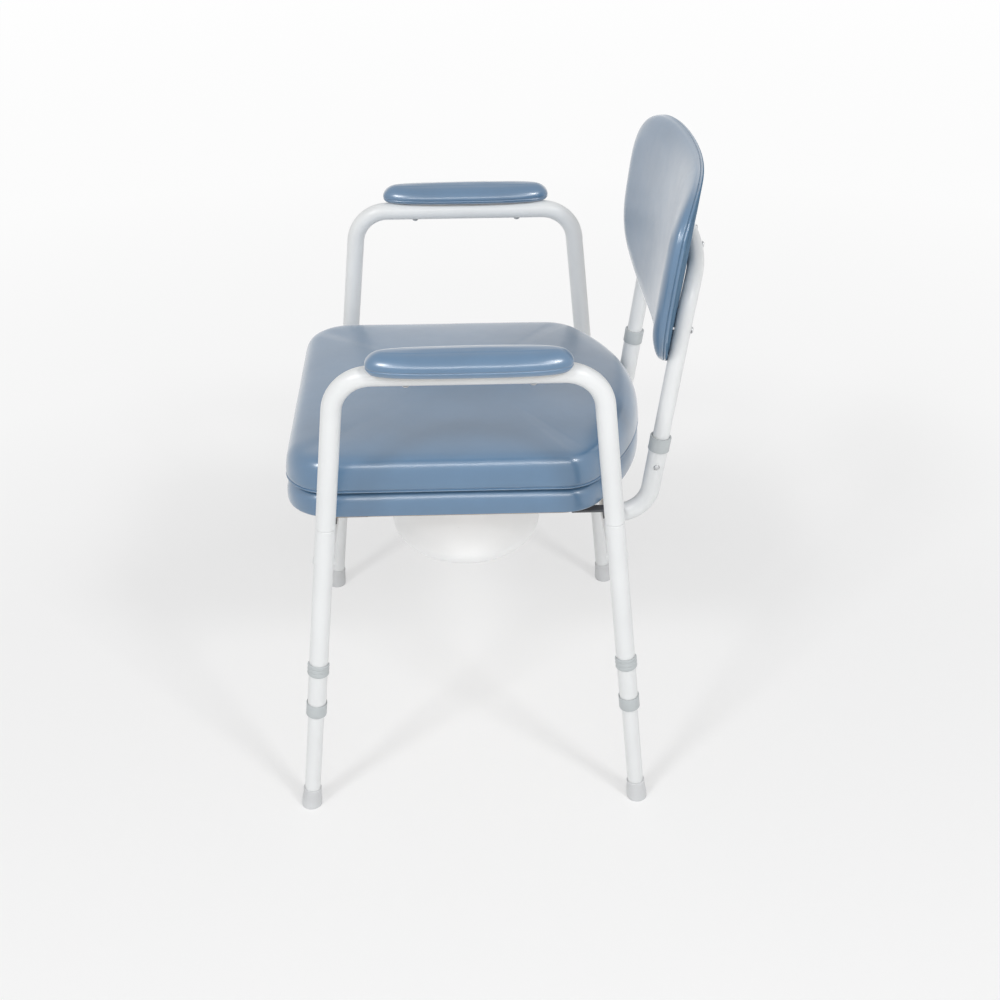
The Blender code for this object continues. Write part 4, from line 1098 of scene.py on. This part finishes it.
# studio: a pale floor and white walls, two far panels and a strip, the camera at the photograph's angle
studio = {
    "floorColour": (0.92, 0.92, 0.92), "floorSize": 30.0, "floorDrop": 0.0002,
    "horizon": 0.78, "zenith": 0.36, "glowAt": (0.6, 0.0, 0.0),
    "glow": ((0.0, 0.28), (0.4, 0.30), (1.1, 0.44), (1.8, 0.74), (3.0, 0.92), (6.0, 1.0)),
    "lights": (
        ("frontPanel", (4.4, -3.4, 5.2), (0.0, 0.0, 0.35), 1.2, 1.2, 120.0),
        ("rearPanel", (4.4, 3.4, 5.2), (0.0, 0.0, 0.35), 1.2, 1.2, 120.0),
        ("stripPanel", (1.90, 0.0, 1.78), (0.10, 0.0, 0.50), 2.2, 0.24, 10.0),
    ),
}


# 1 where the camera, a reflection or glass sees the backdrop, 0 for the light that falls on the chair
def seenRay(tree):
    ray = tree.nodes.new("ShaderNodeLightPath")
    seen = ray.outputs["Is Camera Ray"]
    for kind in ("Is Glossy Ray", "Is Transmission Ray"):
        seen = mathNode(tree, "MAXIMUM", seen, ray.outputs[kind])
    return seen


# a pale floor that turns to plain white with distance
def makeFloor():
    bm = bmesh.new()
    bmesh.ops.create_grid(bm, x_segments=1, y_segments=1, size=studio["floorSize"])
    floor = addObject("floor", meshFrom("floor", bm))
    floor.location.z = -studio["floorDrop"]
    mat = bpy.data.materials.new("paleFloor")
    mat.use_nodes = True
    tree = mat.node_tree
    tree.nodes.clear()
    out = tree.nodes.new("ShaderNodeOutputMaterial")
    diffuse = tree.nodes.new("ShaderNodeBsdfDiffuse")
    diffuse.inputs["Color"].default_value = (*studio["floorColour"], 1.0)
    glow = tree.nodes.new("ShaderNodeEmission")
    away = tree.nodes.new("ShaderNodeVectorMath")
    away.operation = "DISTANCE"
    tree.links.new(objectCoord(tree), away.inputs[0])
    away.inputs[1].default_value = studio["glowAt"]
    edge = studio["glow"][-1][0]
    share = rampNode(tree, rangeNode(tree, away.outputs["Value"], 0.0, 1.0, 0.0, edge),
                     [(r / edge, (g,) * 3) for r, g in studio["glow"]])
    mix = tree.nodes.new("ShaderNodeMixShader")
    tree.links.new(mathNode(tree, "MULTIPLY", share, seenRay(tree)), mix.inputs[0])
    tree.links.new(diffuse.outputs[0], mix.inputs[1])
    tree.links.new(glow.outputs[0], mix.inputs[2])
    tree.links.new(mix.outputs[0], out.inputs["Surface"])
    floor.data.materials.append(mat)


# plain white to the camera and in reflections; its light on the chair is brighter from the sides than above
def makeWorld():
    world = bpy.data.worlds.new("studioWorld")
    bpy.context.scene.world = world
    world.use_nodes = True
    tree = world.node_tree
    ground = tree.nodes["Background"]
    ground.inputs["Color"].default_value = (1.0, 1.0, 1.0, 1.0)
    split = tree.nodes.new("ShaderNodeSeparateXYZ")
    tree.links.new(tree.nodes.new("ShaderNodeTexCoord").outputs["Generated"], split.inputs["Vector"])
    sky = rangeNode(tree, split.outputs["Z"], studio["horizon"], studio["zenith"])
    blend = tree.nodes.new("ShaderNodeMix")
    tree.links.new(seenRay(tree), blend.inputs["Factor"])
    tree.links.new(sky, blend.inputs["A"])
    blend.inputs["B"].default_value = 1.0
    tree.links.new(blend.outputs["Result"], ground.inputs["Strength"])


def makeLights():
    for name, at, aim, wide, tall, power in studio["lights"]:
        lamp = bpy.data.lights.new(name, "AREA")
        lamp.shape = "RECTANGLE"
        lamp.size = wide
        lamp.size_y = tall
        lamp.energy = power
        obj = addObject(name, lamp)
        obj.location = at
        obj.rotation_euler = (Vector(aim) - Vector(at)).to_track_quat("-Z", "Y").to_euler()


camera = {"at": (1.8826, 0.0026 + midY, 1.4777), "yaw": math.radians(1.322), "pitch": math.radians(31.359),
          "roll": math.radians(-0.477), "lens": 54.0, "sensor": 36.0, "far": 100.0}


def makeCamera():
    yaw, pitch, roll = camera["yaw"], camera["pitch"], camera["roll"]
    look = Vector((-math.cos(pitch) * math.cos(yaw), math.cos(pitch) * math.sin(yaw), -math.sin(pitch)))
    right = look.cross(Vector((0, 0, 1))).normalized()
    up = right.cross(look)
    turnedRight = right * math.cos(roll) + up * math.sin(roll)
    turnedUp = up * math.cos(roll) - right * math.sin(roll)
    lens = bpy.data.cameras.new("photoCamera")
    lens.lens = camera["lens"]
    lens.sensor_width = camera["sensor"]
    lens.clip_end = camera["far"]
    obj = addObject("photoCamera", lens)
    spin = Matrix((turnedRight, turnedUp, -look)).transposed().to_4x4()
    obj.matrix_world = Matrix.Translation(camera["at"]) @ spin
    bpy.context.scene.camera = obj


makeFloor()
makeWorld()
makeLights()
makeCamera()
bpy.context.scene.view_settings.view_transform = "Standard"
print("studio ready")
